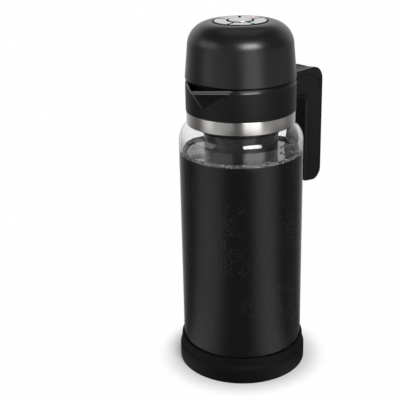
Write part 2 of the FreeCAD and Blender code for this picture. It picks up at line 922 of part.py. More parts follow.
def clear_collar(body):
    """Cuts the arm's root to the collar's round face."""
    sketch = level(body, collar_top)
    draw_circle(sketch, collar_radius)
    pocket(body, sketch, collar_top - handle_bottom)


def make_grip():
    """The inner moulding: finger side and flanks, rounded where the fingers wrap round it."""
    width = d.handle_width - d.shell_overhang * 2
    body = handle_blank("handle_grip", width)

    def on_finger_side(edge):
        box = edge.BoundBox
        flank = abs(abs(box.YMin) - width.value / 2) < TOUCH and box.YLength < TOUCH
        under = box.ZMax < arm_root_bottom.value + TOUCH
        return flank and under and box.XMin < handle_inner.value + d.handle_inner_round.value - TOUCH

    round_edges(body, d.handle_edge_round, on_finger_side)
    far = handle_reach + d.handle_depth
    high = handle_top + d.handle_depth
    cut_at_parting(body, [(far, handle_bottom - d.handle_depth), (far, high), (ZERO, high)])
    clear_collar(body)
    for way in (-1, 1):
        hole = make_sketch(body, "YZ_Plane", screw_seat + d.handle_screw_length)
        draw_circle(hole, d.handle_screw_radius + d.screw_clearance, d.handle_screw_spread * way,
                    screw_height)
        pocket(body, hole, d.handle_screw_length)


def make_shell():
    """The outer moulding: the arm's top with its thumb rest, and the thin outer strap."""
    body = handle_blank("handle_shell", d.handle_width)
    cut_at_parting(body, [(ZERO, handle_bottom - d.handle_depth)])
    clear_collar(body)
    cut_thumb_rest(body)


def cut_thumb_rest(body):
    """A trough along the arm, as deep in the middle as thumb_rest_depth."""
    start = collar_radius + d.thumb_rest_offset
    low = handle_top - d.thumb_rest_depth
    axis_height = low + d.thumb_rest_radius
    sketch = profile(body)
    draw_outline(sketch, [
        (start, handle_top),
        (start + d.thumb_rest_run, low, d.thumb_rest_run),
        (handle_reach + d.thumb_rest_run, low),
        (handle_reach + d.thumb_rest_run, axis_height),
        (start, axis_height),
    ])
    axis = sketch.addGeometry(Part.LineSegment(FreeCAD.Vector(0, axis_height.value, 0),
                                               FreeCAD.Vector(1, axis_height.value, 0)), True)
    rules = place_point(axis, 1, ZERO, axis_height)
    rules += place_point(axis, 2, as_size(1), axis_height)
    constrain(sketch, rules)
    groove = add_feature(body, "Groove", sketch)
    groove.ReferenceAxis = (sketch, ["Axis0"])
    bind(groove, Angle=FULL_TURN)


def make_handle_screws():
    body = make_body("handle_screws")
    for start, length, radius in (
            (screw_seat - d.handle_screw_head_height, d.handle_screw_head_height,
             d.handle_screw_head_radius),
            (screw_seat, d.handle_screw_length, d.handle_screw_radius)):
        sketch = make_sketch(body, "YZ_Plane", start)
        for way in (-1, 1):
            draw_circle(sketch, radius, d.handle_screw_spread * way, screw_height)
        pad(body, sketch, length)


# ---- drive head: housing, chassis and seals ----

def make_housing():
    """The domed cover, with a well in its crown for the keypad."""
    body = make_body("dome_housing", d.keypad_angle)
    inner_top = head_top - d.head_wall
    well_wall = well_radius + d.well_floor
    turn(body, [
        (head_radius, head_bottom, d.head_foot_round),
        (head_radius_at(head_top), head_top, d.head_round),
        (well_radius, head_top, d.well_edge_round),
        (well_radius, well_bottom),
        (ZERO, well_bottom),
        (ZERO, well_underside),
        (well_wall, well_underside),
        (well_wall, inner_top),
        (head_bore_at(inner_top), inner_top, d.head_inner_round),
        (head_bore_at(head_bottom), head_bottom),
    ])
    bore_circles(body, well_bottom, d.well_floor, d.stem_radius + d.stem_clearance, stem_places)
    pad_circles(body, board_top, d.board_drop, d.board_post_radius, board_post_places)
    bore_circles(body, board_top + d.board_screw_length, d.board_screw_length,
                 d.board_screw_radius + d.screw_clearance, board_post_places)
    posts = chassis_screw_places
    pad_circles(body, chassis_top, d.chassis_post_height, d.chassis_post_radius, posts)
    bore_circles(body, chassis_top + d.chassis_screw_length, d.chassis_screw_length,
                 d.chassis_screw_radius + d.screw_clearance, posts)
    sketch = make_sketch(body, "YZ_Plane", -mount_radius)
    draw_circle(sketch, d.socket_radius + d.screw_clearance, ZERO, socket_height)
    pocket(body, sketch, head_radius)


def make_chassis():
    """A flanged pan that closes the head, with a tower for the bush and a spigot for the riser."""
    body = make_body("drive_chassis", d.keypad_angle)
    rim = head_bore_at(chassis_top) - d.chassis_clearance
    turn(body, [
        (d.bush_radius, spigot_bottom),
        (d.spigot_radius, spigot_bottom),
        (d.spigot_radius, plug_bottom),
        (plug_radius, plug_bottom, d.plug_round),
        (plug_radius, chassis_bottom),
        (rim, chassis_bottom),
        (rim, chassis_top),
        (plug_bore, chassis_top),
        (plug_bore, plug_floor),
        (d.bush_tower_radius, plug_floor),
        (d.bush_tower_radius, bush_top),
        (d.bush_radius, bush_top),
    ])
    places = chassis_screw_places
    bore_circles(body, chassis_top, d.chassis_flange, d.chassis_screw_radius + d.screw_clearance, places)
    bore_circles(body, chassis_bottom + d.chassis_screw_head_height, d.chassis_screw_head_height,
                 d.chassis_screw_head_radius + d.screw_clearance, places)
    pad_circles(body, plug_floor, mount_height - plug_floor, d.post_radius, post_places)
    bore_circles(body, mount_height, d.mount_screw_length, d.mount_screw_radius + d.screw_clearance,
                 post_places)


def make_chassis_screws():
    body = make_body("chassis_screws", d.keypad_angle)
    places = chassis_screw_places
    pad_circles(body, chassis_bottom, d.chassis_screw_head_height, d.chassis_screw_head_radius, places)
    pad_circles(body, chassis_bottom + d.chassis_screw_head_height, d.chassis_screw_length,
                d.chassis_screw_radius, places)


def make_head_seal():
    """A ring under the flange that presses on the collar's shelf."""
    body = make_body("head_seal")
    turn(body, [
        (plug_radius + d.screw_clearance, chassis_bottom - d.head_seal_height),
        (collar_bore - d.seal_clearance, chassis_bottom - d.head_seal_height),
        (collar_bore - d.seal_clearance, chassis_bottom),
        (plug_radius + d.screw_clearance, chassis_bottom),
    ])


def ring_body(label, bottom, top, inner, outer):
    """A plain ring with a straight bore."""
    body = make_body(label)
    turn(body, [(inner, bottom), (outer, bottom), (outer, top), (inner, top)])


def make_bearings():
    """A lip seal at the spigot's mouth and a long bush above it."""
    bore = d.shaft_radius + d.running_clearance
    seal_top = spigot_bottom + d.shaft_seal_height
    ring_body("shaft_seal", spigot_bottom, seal_top, bore, d.bush_radius)
    ring_body("shaft_bush", seal_top, bush_top, bore, d.bush_radius)


# ---- motor, mount and batteries ----

def cell_places():
    return [(ZERO, cell_spread * way) for way in (-1, 1)]


def make_mount():
    """A plate on four posts: the motor's nose fits its hole, and saddles hold the cells."""
    body = make_body("motor_mount", d.keypad_angle)
    ring = [(d.motor_nose_radius, mount_height), (mount_radius, mount_height),
            (mount_radius, mount_top), (d.motor_nose_radius, mount_top)]
    turn(body, ring)
    bore_circles(body, mount_top, d.mount_thickness, d.mount_screw_radius + d.screw_clearance, post_places)
    saddles = level(body, mount_top)
    for way in (-1, 1):
        for side in (-1, 1):
            left = d.saddle_spread * side - d.saddle_width / 2
            low = cell_spread * way - d.cell_radius
            draw_box(saddles, left, left + d.saddle_width, low, low + d.cell_radius * 2)
    pad(body, saddles, d.saddle_height)
    hollow = make_sketch(body, "YZ_Plane", d.saddle_spread + d.saddle_width)
    for across, along in cell_places():
        draw_circle(hollow, d.cell_radius + d.saddle_clearance, along, cell_height())
    pocket(body, hollow, (d.saddle_spread + d.saddle_width) * 2)


def cell_height():
    """The cells lie just above the mount's plate."""
    return mount_top + d.cell_radius + d.saddle_clearance * 2


def make_cells():
    body = make_body("battery_cells", d.keypad_angle)
    can = make_sketch(body, "YZ_Plane", -cell_half_length)
    for across, along in cell_places():
        draw_circle(can, d.cell_radius, along, cell_height())
    pad(body, can, cell_half_length * 2)
    tip = make_sketch(body, "YZ_Plane", cell_half_length)
    for across, along in cell_places():
        draw_circle(tip, d.cell_button_radius, along, cell_height())
    pad(body, tip, d.cell_button_height)


def make_motor():
    body = make_body("motor_can")
    bore = d.motor_shaft_radius + d.running_clearance
    turn(body, [
        (bore, mount_height),
        (d.motor_nose_radius, mount_height),
        (d.motor_nose_radius, mount_top),
        (d.motor_radius, mount_top),
        (d.motor_radius, motor_top, d.motor_round),
        (ZERO, motor_top),
        (ZERO, shaft_top + d.coupling_gap),
        (bore, shaft_top + d.coupling_gap),
    ])


def make_mount_screws():
    body = make_body("mount_screws", d.keypad_angle)
    pad_circles(body, mount_top, d.mount_screw_head_height, d.mount_screw_head_radius, post_places)
    pad_circles(body, mount_top - d.mount_screw_length, d.mount_screw_length,
                d.mount_screw_radius, post_places)


# ---- rotor: motor shaft, coupling, drive shaft and impeller ----

def make_rotor():
    body = make_body("motor_shaft")
    turn(body, [
        (ZERO, coupling_middle),
        (d.motor_shaft_radius, coupling_middle),
        (d.motor_shaft_radius, shaft_top),
        (ZERO, shaft_top),
    ])
    body = make_body("shaft_coupling")
    turn(body, [
        (d.shaft_radius, coupling_bottom),
        (d.coupling_radius, coupling_bottom),
        (d.coupling_radius, coupling_top),
        (d.motor_shaft_radius, coupling_top),
        (d.motor_shaft_radius, coupling_middle),
        (d.shaft_radius, coupling_middle),
    ])
    body = make_body("drive_shaft")
    turn(body, [
        (ZERO, riser_bottom + d.shaft_inset),
        (d.shaft_radius, riser_bottom + d.shaft_inset),
        (d.shaft_radius, coupling_middle),
        (ZERO, coupling_middle),
    ])
    make_impeller()


def make_impeller():
    """A hub with twisted blades, each lofted between turned sections."""
    body = make_body("impeller")
    bottom = riser_bottom + d.foot_height + d.impeller_gap
    tip = riser_bore - d.impeller_tip_clearance
    turn(body, [
        (d.shaft_radius, bottom),
        (d.impeller_hub_radius, bottom),
        (d.impeller_hub_radius, bottom + d.impeller_length),
        (d.shaft_radius, bottom + d.impeller_length),
    ])
    root = (d.shaft_radius + d.impeller_hub_radius) / 2
    half = d.impeller_blade_thickness / 2
    sections = []
    for share in (0, 1, 2):
        angle = d.impeller_twist_angle * share / 2
        sketch = level(body, bottom + d.impeller_length * share / 2)
        draw_bar(sketch, angle, root, tip, half)
        sections.append(sketch)
    blade = add_feature(body, "AdditiveLoft", sections[0])
    blade.Sections = sections[1:]
    repeat_round(body, [blade], d.impeller_blades)


# ---- riser tube and its foot ----

def make_riser():
    body = make_body("riser_tube")
    turn(body, [
        (riser_bore, riser_bottom),
        (d.riser_radius, riser_bottom),
        (d.riser_radius, plug_bottom),
        (riser_bore, plug_bottom),
    ])
    top = plug_bottom - d.riser_window_drop
    half = d.riser_window_width / 2
    sketch = profile(body)
    draw_box(sketch, -half, half, top - d.riser_window_height, top)
    windows = pocket(body, sketch, d.riser_radius * 2)
    repeat_round(body, [windows], d.riser_windows)


def make_foot():
    """A spoked ring in the riser's mouth that steadies the shaft."""
    body = make_body("riser_foot")
    top = riser_bottom + d.foot_height
    outer = riser_bore - d.riser_clearance
    turn(body, [
        (outer - d.foot_rim, riser_bottom),
        (outer, riser_bottom),
        (outer, top),
        (outer - d.foot_rim, top),
    ])
    turn(body, [
        (d.shaft_radius + d.running_clearance, riser_bottom),
        (d.foot_hub_radius, riser_bottom),
        (d.foot_hub_radius, top),
        (d.shaft_radius + d.running_clearance, top),
    ])
    half = d.foot_spoke_width / 2
    sketch = level(body, riser_bottom)
    draw_box(sketch, (d.foot_hub_radius + d.shaft_radius) / 2, outer - d.foot_rim / 2, -half, half)
    spoke = pad(body, sketch, d.foot_height)
    repeat_round(body, [spoke], d.foot_spokes)


# ---- filter basket ----

def make_basket():
    """A caged tube with a flange at its mouth, and rows of windows for the mesh."""
    body = make_body("basket_frame")
    turn(body, [
        (basket_bore, basket_bottom),
        (d.basket_radius, basket_bottom),
        (d.basket_radius, flange_bottom),
        (basket_flange_radius, flange_bottom),
        (basket_flange_radius, flange_top),
        (basket_bore, flange_top),
    ])
    rows = SIZES["basket_window_rows"]
    height = (d.basket_window_height - d.basket_window_rib * (rows - 1)) / rows
    half = d.basket_window_width / 2
    sketch = profile(body)
    for row in range(rows):
        low = window_bottom + (height + d.basket_window_rib) * row
        draw_box(sketch, -half, half, low, low + height)
    windows = pocket(body, sketch, d.basket_radius + d.basket_wall)
    repeat_round(body, [windows], d.basket_window_columns)
    ring_body("basket_mesh", window_bottom - d.mesh_margin, window_top + d.mesh_margin,
              basket_bore - d.mesh_wall, basket_bore)


def make_basket_base():
    """The twist-off bottom cap with the core tube that the riser passes through."""
    body = make_body("basket_base")
    bottom = basket_bottom - d.basket_cap_height
    plug_top = basket_bottom + d.basket_plug_height
    plug = basket_bore - d.basket_plug_clearance
    turn(body, [
        (core_bore, bottom),
        (d.basket_radius, bottom, d.basket_wall),
        (d.basket_radius, basket_bottom),
        (plug, basket_bottom),
        (plug, plug_top),
        (core_radius, plug_top),
        (core_radius, flange_top - d.core_drop),
        (core_bore, flange_top - d.core_drop),
    ])


def make_basket_lid():
    body = make_body("basket_lid")
    bottom = plug_bottom - d.lid_height
    bore = d.riser_radius + d.riser_clearance
    turn(body, [
        (bore, bottom),
        (basket_flange_radius, bottom),
        (basket_flange_radius, plug_bottom),
        (bore, plug_bottom),
    ])
    bore_circles(body, plug_bottom, d.lid_height, d.lid_vent_radius,
                 ring_places(d.lid_vent_circle, even_angles(d.lid_vents)))


# ---- keypad ----

def make_button_frame():
    """A black tray in the well: rim, inner ring and ribs that part the buttons."""
    body = make_body("button_frame", d.keypad_angle)
    rim = well_radius - d.frame_clearance
    rim_top = head_top - d.frame_clearance
    rib_top = head_top - d.frame_rib_drop
    ring_outer = frame_hole + d.frame_ring_width
    turn(body, [(rim - d.frame_rim_width, well_bottom), (rim, well_bottom), (rim, rim_top),
                (rim - d.frame_rim_width, rim_top)])
    turn(body, [(frame_hole, well_bottom), (ring_outer, well_bottom), (ring_outer, rib_top),
                (frame_hole, rib_top)])
    half = d.frame_rib_width / 2
    inner = frame_hole + d.frame_ring_width / 2
    outer = rim - d.frame_rim_width / 2
    sketch = level(body, well_bottom)
    for angle in (d.front_gap_angle, d.rear_gap_angle, HALF_TURN, -d.rear_gap_angle, -d.front_gap_angle):
        draw_bar(sketch, angle, inner, outer, half)
    pad(body, sketch, rib_top - well_bottom)


def make_buttons():
    """A round start button and five segments round it, each on a stem over its switch."""
    body = make_body("start_button", d.keypad_angle)
    turn(body, [
        (ZERO, button_bottom),
        (d.start_button_radius, button_bottom),
        (d.start_button_radius, button_top, d.button_round),
        (ZERO, button_top),
    ])
    pad_circles(body, stem_bottom, button_bottom - stem_bottom, d.stem_radius, CENTRE)
    for name, (middle, half) in SEGMENTS.items():
        body = make_body(name + "_button", d.keypad_angle + middle)
        sketch = level(body, button_bottom)
        draw_sector(sketch, segment_inner, segment_outer, half, segment_side)
        pad(body, sketch, button_top - button_bottom)
        round_edges(body, d.button_round, lambda edge: lies_at(edge, button_top))
        pad_circles(body, stem_bottom, button_bottom - stem_bottom, d.stem_radius, [(stem_circle, ZERO)])
        if name == "rear_right":
            light = [(light_circle, ZERO)]
            bore_circles(body, button_top, d.light_depth, d.light_radius, light)


def make_light():
    """The lens of the brewing light, let into the rear right button."""
    middle, half = SEGMENTS["rear_right"]
    body = make_body("light_lens", d.keypad_angle + middle)
    pad_circles(body, button_top - d.light_depth, d.light_depth + d.light_proud, d.light_radius,
                [(light_circle, ZERO)])


def make_board():
    body = make_body("control_board", d.keypad_angle)
    pad_circles(body, board_bottom, d.board_thickness, board_radius, CENTRE)
    bore_circles(body, board_top, d.board_thickness, d.board_screw_radius + d.screw_clearance,
                 board_post_places)
    body = make_body("key_switches", d.keypad_angle)
    sketch = level(body, board_top)
    half = d.switch_side / 2
    for across, up in stem_places:
        draw_box(sketch, across - half, across + half, up - half, up + half)
    pad(body, sketch, d.switch_height)
    pad_circles(body, board_top + d.switch_height, d.switch_pip_height, d.switch_pip_radius, stem_places)
    body = make_body("board_screws", d.keypad_angle)
    pad_circles(body, board_bottom - d.board_screw_head_height, d.board_screw_head_height,
                d.board_screw_head_radius, board_post_places)
    pad_circles(body, board_bottom, d.board_screw_length, d.board_screw_radius, board_post_places)


def make_socket():
    """The charging socket: a short barrel with a centre pin, in the back of the head."""
    body = make_body("charge_socket", d.keypad_angle)
    face = head_radius_at(socket_height) - d.socket_inset
    sketch = make_sketch(body, "YZ_Plane", -face)
    draw_circle(sketch, d.socket_radius, ZERO, socket_height)
    pad(body, sketch, d.socket_length)
    sketch = make_sketch(body, "YZ_Plane", -face + d.socket_bore_depth)
    draw_circle(sketch, d.socket_bore_radius, ZERO, socket_height)
    pocket(body, sketch, d.socket_bore_depth)
    sketch = make_sketch(body, "YZ_Plane", -face + d.socket_pin_setback)
    draw_circle(sketch, d.socket_pin_radius, ZERO, socket_height)
    pad(body, sketch, d.socket_bore_depth)


make_boot()
make_cushion()
make_glass()
make_neck_gasket()
make_rim_gasket()
make_band()
make_collar()
make_grip()
make_shell()
make_handle_screws()
make_housing()
make_chassis()
make_chassis_screws()
make_head_seal()
make_bearings()
make_mount()
make_cells()
make_motor()
make_mount_screws()
make_rotor()
make_riser()
make_foot()
make_basket()
make_basket_base()
make_basket_lid()
make_button_frame()
make_buttons()
make_light()
make_board()
make_socket()
doc.recompute()

for item in doc.Objects:
    if "Invalid" in item.State or "Error" in item.State:
        raise RuntimeError("%s could not be made: %s" % (item.Label, item.State))
os.makedirs("parts", exist_ok=True)
for part in parts:
    if part.Shape.isNull() or not part.Shape.isValid():
        raise RuntimeError(part.Label + " has no valid shape")
    part.Shape.exportStep("parts/%s.step" % part.Label)
    box = part.Shape.BoundBox
    print("%-16s %2d solids %10.1f mm3  x %.1f..%.1f y %.1f..%.1f z %.1f..%.1f" % (
        part.Label, len(part.Shape.Solids), part.Shape.Volume,
        box.XMin, box.XMax, box.YMin, box.YMax, box.ZMin, box.ZMax))
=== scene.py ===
from math import acos, asin, cos, pi, radians, sin, tan

import bmesh
import bpy
import numpy as np
from mathutils import Matrix, Vector


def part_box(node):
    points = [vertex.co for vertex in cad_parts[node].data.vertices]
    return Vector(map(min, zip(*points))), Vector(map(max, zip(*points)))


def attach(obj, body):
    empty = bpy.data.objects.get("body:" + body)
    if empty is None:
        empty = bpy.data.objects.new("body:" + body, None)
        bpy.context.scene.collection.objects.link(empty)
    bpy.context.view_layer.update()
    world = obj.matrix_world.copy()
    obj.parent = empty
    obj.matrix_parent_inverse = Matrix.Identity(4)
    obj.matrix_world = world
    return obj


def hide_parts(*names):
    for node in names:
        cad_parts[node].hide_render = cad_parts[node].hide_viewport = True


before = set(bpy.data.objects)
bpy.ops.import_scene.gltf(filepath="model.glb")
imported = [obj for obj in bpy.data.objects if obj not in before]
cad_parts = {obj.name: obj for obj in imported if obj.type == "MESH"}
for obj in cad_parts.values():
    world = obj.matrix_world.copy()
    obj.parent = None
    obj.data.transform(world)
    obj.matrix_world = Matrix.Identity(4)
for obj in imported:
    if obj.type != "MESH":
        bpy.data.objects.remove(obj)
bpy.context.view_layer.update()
print("frame loaded:", len(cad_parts), "nodes")

scene = bpy.context.scene
mm = 0.001
turnSteps = 192  # steps round a full turn of a lathed piece
fineSteps = 256  # the same for the widest ones
mergeGap = 1e-6  # metres

# camera: standing in front of the spout side, a little above the dome

cameraSetup = dict(
    place=(-0.5531, -0.4845, 0.4289),
    heading=(0.7193, 0.6947),  # level direction the camera looks in
    pitch=20.8, roll=-1.295,  # degrees down, and degrees
    lens=81.7, sensor=36.0, clip=(0.05, 60.0),
)
upright = Vector((0, 0, 1))


# An object in the scene, at the origin.
def newObject(name, data):
    thing = bpy.data.objects.new(name, data)
    scene.collection.objects.link(thing)
    return thing


def makeCamera(setup):
    data = bpy.data.cameras.new("mainCamera")
    data.lens = setup["lens"]
    data.sensor_width = setup["sensor"]
    data.clip_start, data.clip_end = setup["clip"]
    camera = newObject("mainCamera", data)
    pitch = radians(setup["pitch"])
    roll = radians(setup["roll"])
    level = Vector(setup["heading"] + (0.0,)).normalized()
    forward = level * cos(pitch) - upright * sin(pitch)
    right = forward.cross(upright).normalized()
    up = right.cross(forward)
    turnedRight = right * cos(roll) + up * sin(roll)
    turnedUp = up * cos(roll) - right * sin(roll)
    basis = Matrix((turnedRight, turnedUp, -forward)).transposed().to_4x4()
    camera.matrix_world = Matrix.Translation(Vector(setup["place"])) @ basis
    scene.camera = camera


makeCamera(cameraSetup)
print("camera made")

# surfaces worked out with numpy


# A path through corners (x, z) or (x, z, radius): each radius becomes an arc that is tangent to both
# runs, centre = corner + bisector * radius / sin(half angle).
def roundCorners(corners, steps=8):
    path = []
    for index, corner in enumerate(corners):
        spot = np.array(corner[:2], float)
        radius = corner[2] if len(corner) == 3 else 0
        if radius <= 0:
            path.append(spot[None, :])
            continue
        back = np.array(corners[index - 1][:2], float) - spot
        ahead = np.array(corners[(index + 1) % len(corners)][:2], float) - spot
        back /= np.linalg.norm(back)
        ahead /= np.linalg.norm(ahead)
        half = acos(np.clip(back @ ahead, -1, 1)) / 2
        bisector = (back + ahead) / np.linalg.norm(back + ahead)
        centre = spot + bisector * radius / sin(half)
        first = spot + back * radius / tan(half) - centre
        last = spot + ahead * radius / tan(half) - centre
        share = np.linspace(0, 1, steps + 1)[:, None]
        sweep = pi - 2 * half
        arc = (np.sin((1 - share) * sweep) * first + np.sin(share * sweep) * last) / sin(sweep)
        path.append(centre + arc)
    return np.vstack(path)


# The section of an upright strip with round top corners.
def stripSection(left, right, bottom, top, topRound=0):
    corners = [(left, bottom), (right, bottom), (right, top, topRound), (left, top, topRound)]
    return roundCorners(corners, steps=4)


# A closed shell in metres from a grid of points in millimetres. Rings run along the grid's rows, its
# columns or both, and flat faces close the open ends. Doubles are merged, faces turned outwards, and
# all is smooth except where two faces meet at more than sharpAngle.
def newShell(name, grid, rings="both", sharpAngle=32):
    rows, columns = grid.shape[:2]
    index = np.arange(rows * columns).reshape(rows, columns)
    caps = {"both": (), "rows": (index[0], index[-1]), "columns": (index[:, 0], index[:, -1])}[rings]
    if rings != "rows":
        index = np.vstack([index, index[:1]])
    if rings != "columns":
        index = np.hstack([index, index[:, :1]])
    corners = (index[:-1, :-1], index[:-1, 1:], index[1:, 1:], index[1:, :-1])
    faces = np.stack([corner.ravel() for corner in corners], axis=1).tolist()
    mesh = bpy.data.meshes.new(name)
    mesh.from_pydata((grid.reshape(-1, 3) * mm).tolist(), [], faces + [cap.tolist() for cap in caps])
    work = bmesh.new()
    work.from_mesh(mesh)
    bmesh.ops.remove_doubles(work, verts=work.verts, dist=mergeGap)
    bmesh.ops.dissolve_degenerate(work, edges=work.edges, dist=mergeGap / 10)
    bmesh.ops.recalc_face_normals(work, faces=work.faces)
    work.to_mesh(mesh)
    work.free()
    mesh.polygons.foreach_set("use_smooth", [True] * len(mesh.polygons))
    mesh.set_sharp_from_angle(angle=radians(sharpAngle))
    return mesh


def fullTurn(steps):
    return np.linspace(0, 2 * pi, steps, endpoint=False)


# Points on an arc about a centre, from one angle to another.
def arcPoints(centre, radius, start, stop, count):
    t = np.linspace(start, stop, count)
    return np.array(centre) + radius * np.stack([np.cos(t), np.sin(t)], axis=1)


# A profile of (radius, height) carried round an upright axis at x = centre: x = centre + r cos a,
# y = r sin a.
def turnProfile(profile, angle, centre=0):
    radius, height = np.asarray(profile, float).T[:, :, None]
    return np.stack([centre + radius * np.cos(angle), radius * np.sin(angle), height + 0 * angle], axis=2)


def lathe(name, profile, steps=turnSteps):
    return newShell(name, turnProfile(profile, fullTurn(steps)))


# One mesh that holds several closed shells.
def joinMeshes(name, meshes):
    work = bmesh.new()
    for mesh in meshes:
        work.from_mesh(mesh)
    joined = bpy.data.meshes.new(name)
    work.to_mesh(joined)
    work.free()
    for mesh in meshes:
        bpy.data.meshes.remove(mesh)
    return joined


# A piece with its mesh's name, on a body, hiding the nodes it stands for; the slot name is not used.
def addPiece(mesh, material, body, slotName=None, *replaced):
    mesh.materials.append(material)
    piece = newObject(mesh.name, mesh)
    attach(piece, body)
    if replaced:
        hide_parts(*replaced)


# Radius, lowest and highest height of an upright round node, in millimetres.
def nodeSize(node):
    low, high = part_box(node)
    return high.x / mm, low.z / mm, high.z / mm


# helpers for node trees


# Gives each input a value, or links it to another node's socket.
def feed(tree, inputs, values):
    for name, value in values.items():
        if isinstance(value, bpy.types.NodeSocket):
            tree.links.new(value, inputs[name])
        else:
            inputs[name].default_value = value


def addNode(tree, kind, values=None, **settings):
    node = tree.nodes.new("ShaderNode" + kind)
    for setting, value in settings.items():
        setattr(node, setting, value)
    feed(tree, node.inputs, values or {})
    return node


signs = {"+": "ADD", "-": "SUBTRACT", "*": "MULTIPLY", ">": "GREATER_THAN", "<": "LESS_THAN"}


# A sum of two values or sockets by its sign, or another operation by its name.
def calc(tree, sign, *values):
    return addNode(tree, "Math", dict(enumerate(values)), operation=signs.get(sign, sign)).outputs[0]


# Rises from 0 to top between the two limits.
def smoothShare(tree, value, limits, top=1):
    values = {"Value": value, "From Min": limits[0], "From Max": limits[1], "To Max": top}
    return addNode(tree, "MapRange", values, interpolation_type="SMOOTHSTEP").outputs["Result"]


# A mix of two values or sockets, or of two colours when kind is RGBA.
def mix(tree, share, first, second, kind="FLOAT"):
    values = {"Factor": share, "A": first, "B": second}
    return addNode(tree, "Mix", values, data_type=kind).outputs["Result"]


def objectPlace(tree):
    return addNode(tree, "TexCoord").outputs["Object"]


def axesOf(tree, place=None):
    return addNode(tree, "SeparateXYZ", {"Vector": place or objectPlace(tree)}).outputs


# The height above the floor and the distance from the axis, on Object coordinates.
def heightAndReach(tree):
    x, y, z = axesOf(tree)
    level = addNode(tree, "CombineXYZ", {"X": x, "Y": y}).outputs["Vector"]
    return z, addNode(tree, "VectorMath", {0: level}, operation="LENGTH").outputs["Value"]


def addNoise(tree, scale, detail=2.0, place=None):
    values = {"Vector": place or objectPlace(tree), "Scale": scale, "Detail": detail}
    return addNode(tree, "TexNoise", values).outputs["Fac"]


# Round cells: their distance, and a random colour for each.
def addCells(tree, scale):
    cells = addNode(tree, "TexVoronoi", {"Vector": objectPlace(tree), "Scale": scale}).outputs
    return cells["Distance"], cells["Color"]


# Colours between two stops of (position, colour).
def addRamp(tree, value, stops):
    ramp = addNode(tree, "ValToRGB", {"Fac": value})
    for element, (position, color) in zip(ramp.color_ramp.elements, stops):
        element.position = position
        element.color = color + (1,)
    return ramp.outputs["Color"]


# Relief from a height, on the shader's normal.
def addRelief(tree, shader, height, strength, depth, invert=False):
    values = {"Height": height, "Strength": strength, "Distance": depth}
    feed(tree, shader, {"Normal": addNode(tree, "Bump", values, invert=invert).outputs["Normal"]})


def emptyTree(owner):
    owner.use_nodes = True
    owner.node_tree.nodes.clear()
    return owner.node_tree


# A node group with named inputs and outputs, whose first values tell what kind each one is.
def newGroup(name, inputs, outputs):
    group = bpy.data.node_groups.new(name, "ShaderNodeTree")
    for side, sockets in (("INPUT", inputs), ("OUTPUT", outputs)):
        for label, value in sockets.items():
            kind = "Float" if isinstance(value, float) else "Vector" if len(value) == 3 else "Color"
            socket = group.interface.new_socket(label, in_out=side, socket_type="NodeSocket" + kind)
            socket.default_value = value
    return group, group.nodes.new("NodeGroupInput").outputs, group.nodes.new("NodeGroupOutput").inputs


# skins: moulded plastic and brushed metal, where relief is a strength and a depth in metres

moulded = dict(
    color=(0.02, 0.02, 0.02, 1), roughness=0.4, grain=1500.0, grainDetail=3.0, patch=0.08,
    patchScale=28.0, patchDetail=5.0, toneShare=3.0, relief=(0.25, 0.00004),
)
brushed = dict(
    color=(0.6, 0.6, 0.6, 1), roughness=0.3, lines=4000.0, lineDetail=4.0, contrast=0.3,
    squeeze=(0.004, 0.004, 1.0), toneShare=1.0, relief=(0.12, 0.00002),
)


# A skin from a pattern around 0.5: swing = (pattern - 0.5) * amount, roughness + swing, and colour *
# (1 + toneShare * swing).
def makeSkinGroup(name, skin, inputs, patterns):
    first = {"Color": skin["color"], "Roughness": skin["roughness"]}
    group, entry, leave = newGroup(name, {**first, **inputs}, {**first, "Height": 0.0})
    scaleInput, amountInput = (entry[label] for label in inputs)
    height, pattern = patterns(group, scaleInput)
    swing = calc(group, "*", calc(group, "-", pattern, 0.5), amountInput)
    tone = calc(group, "+", calc(group, "*", swing, skin["toneShare"]), 1)
    shade = addNode(group, "VectorMath", {0: entry["Color"], "Scale": tone}, operation="SCALE")
    feed(group, leave, {"Color": shade.outputs["Vector"], "Height": height,
                        "Roughness": calc(group, "+", entry["Roughness"], swing)})
    return group


# Fine spark grain for the relief, and slow cloudy patches for the tone and the roughness.
def mouldedPatterns(group, scale):
    return (addNoise(group, scale, moulded["grainDetail"]),
            addNoise(group, moulded["patchScale"], moulded["patchDetail"]))


# Noise squeezed along Z, so that the lines run round the piece.
def brushedPatterns(group, scale):
    place = addNode(group, "Mapping", {"Vector": objectPlace(group), "Scale": brushed["squeeze"]})
    lines = addNoise(group, scale, brushed["lineDetail"], place.outputs["Vector"])
    return lines, lines


mouldedSkin = makeSkinGroup("mouldedSkin", moulded, {
    "Grain Scale": moulded["grain"], "Patch Amount": moulded["patch"]}, mouldedPatterns)
brushedLines = makeSkinGroup("brushedLines", brushed, {
    "Line Scale": brushed["lines"], "Contrast": brushed["contrast"]}, brushedPatterns)


# A Principled material: constants go on the shader's own sockets.
def newMaterial(name, settings):
    material = bpy.data.materials.new(name)
    material.use_nodes = True
    tree = material.node_tree
    shader = tree.nodes["Principled BSDF"].inputs
    feed(tree, shader, settings)
    return material, tree, shader


# A material whose colour, roughness and relief come from one of the shared groups.
def skinMaterial(name, group, values, relief, settings):
    material, tree, shader = newMaterial(name, settings)
    skin = addNode(tree, "Group", values, node_tree=group).outputs
    feed(tree, shader, {"Base Color": skin["Color"], "Roughness": skin["Roughness"]})
    addRelief(tree, shader, skin["Height"], *relief)
    return material


def newPlastic(name, color, roughness, grain=moulded["grain"], patch=moulded["patch"], shine=0.5):
    values = {"Color": color + (1,), "Roughness": roughness, "Grain Scale": grain, "Patch Amount": patch}
    return skinMaterial(name, mouldedSkin, values, moulded["relief"], {"Specular IOR Level": shine})


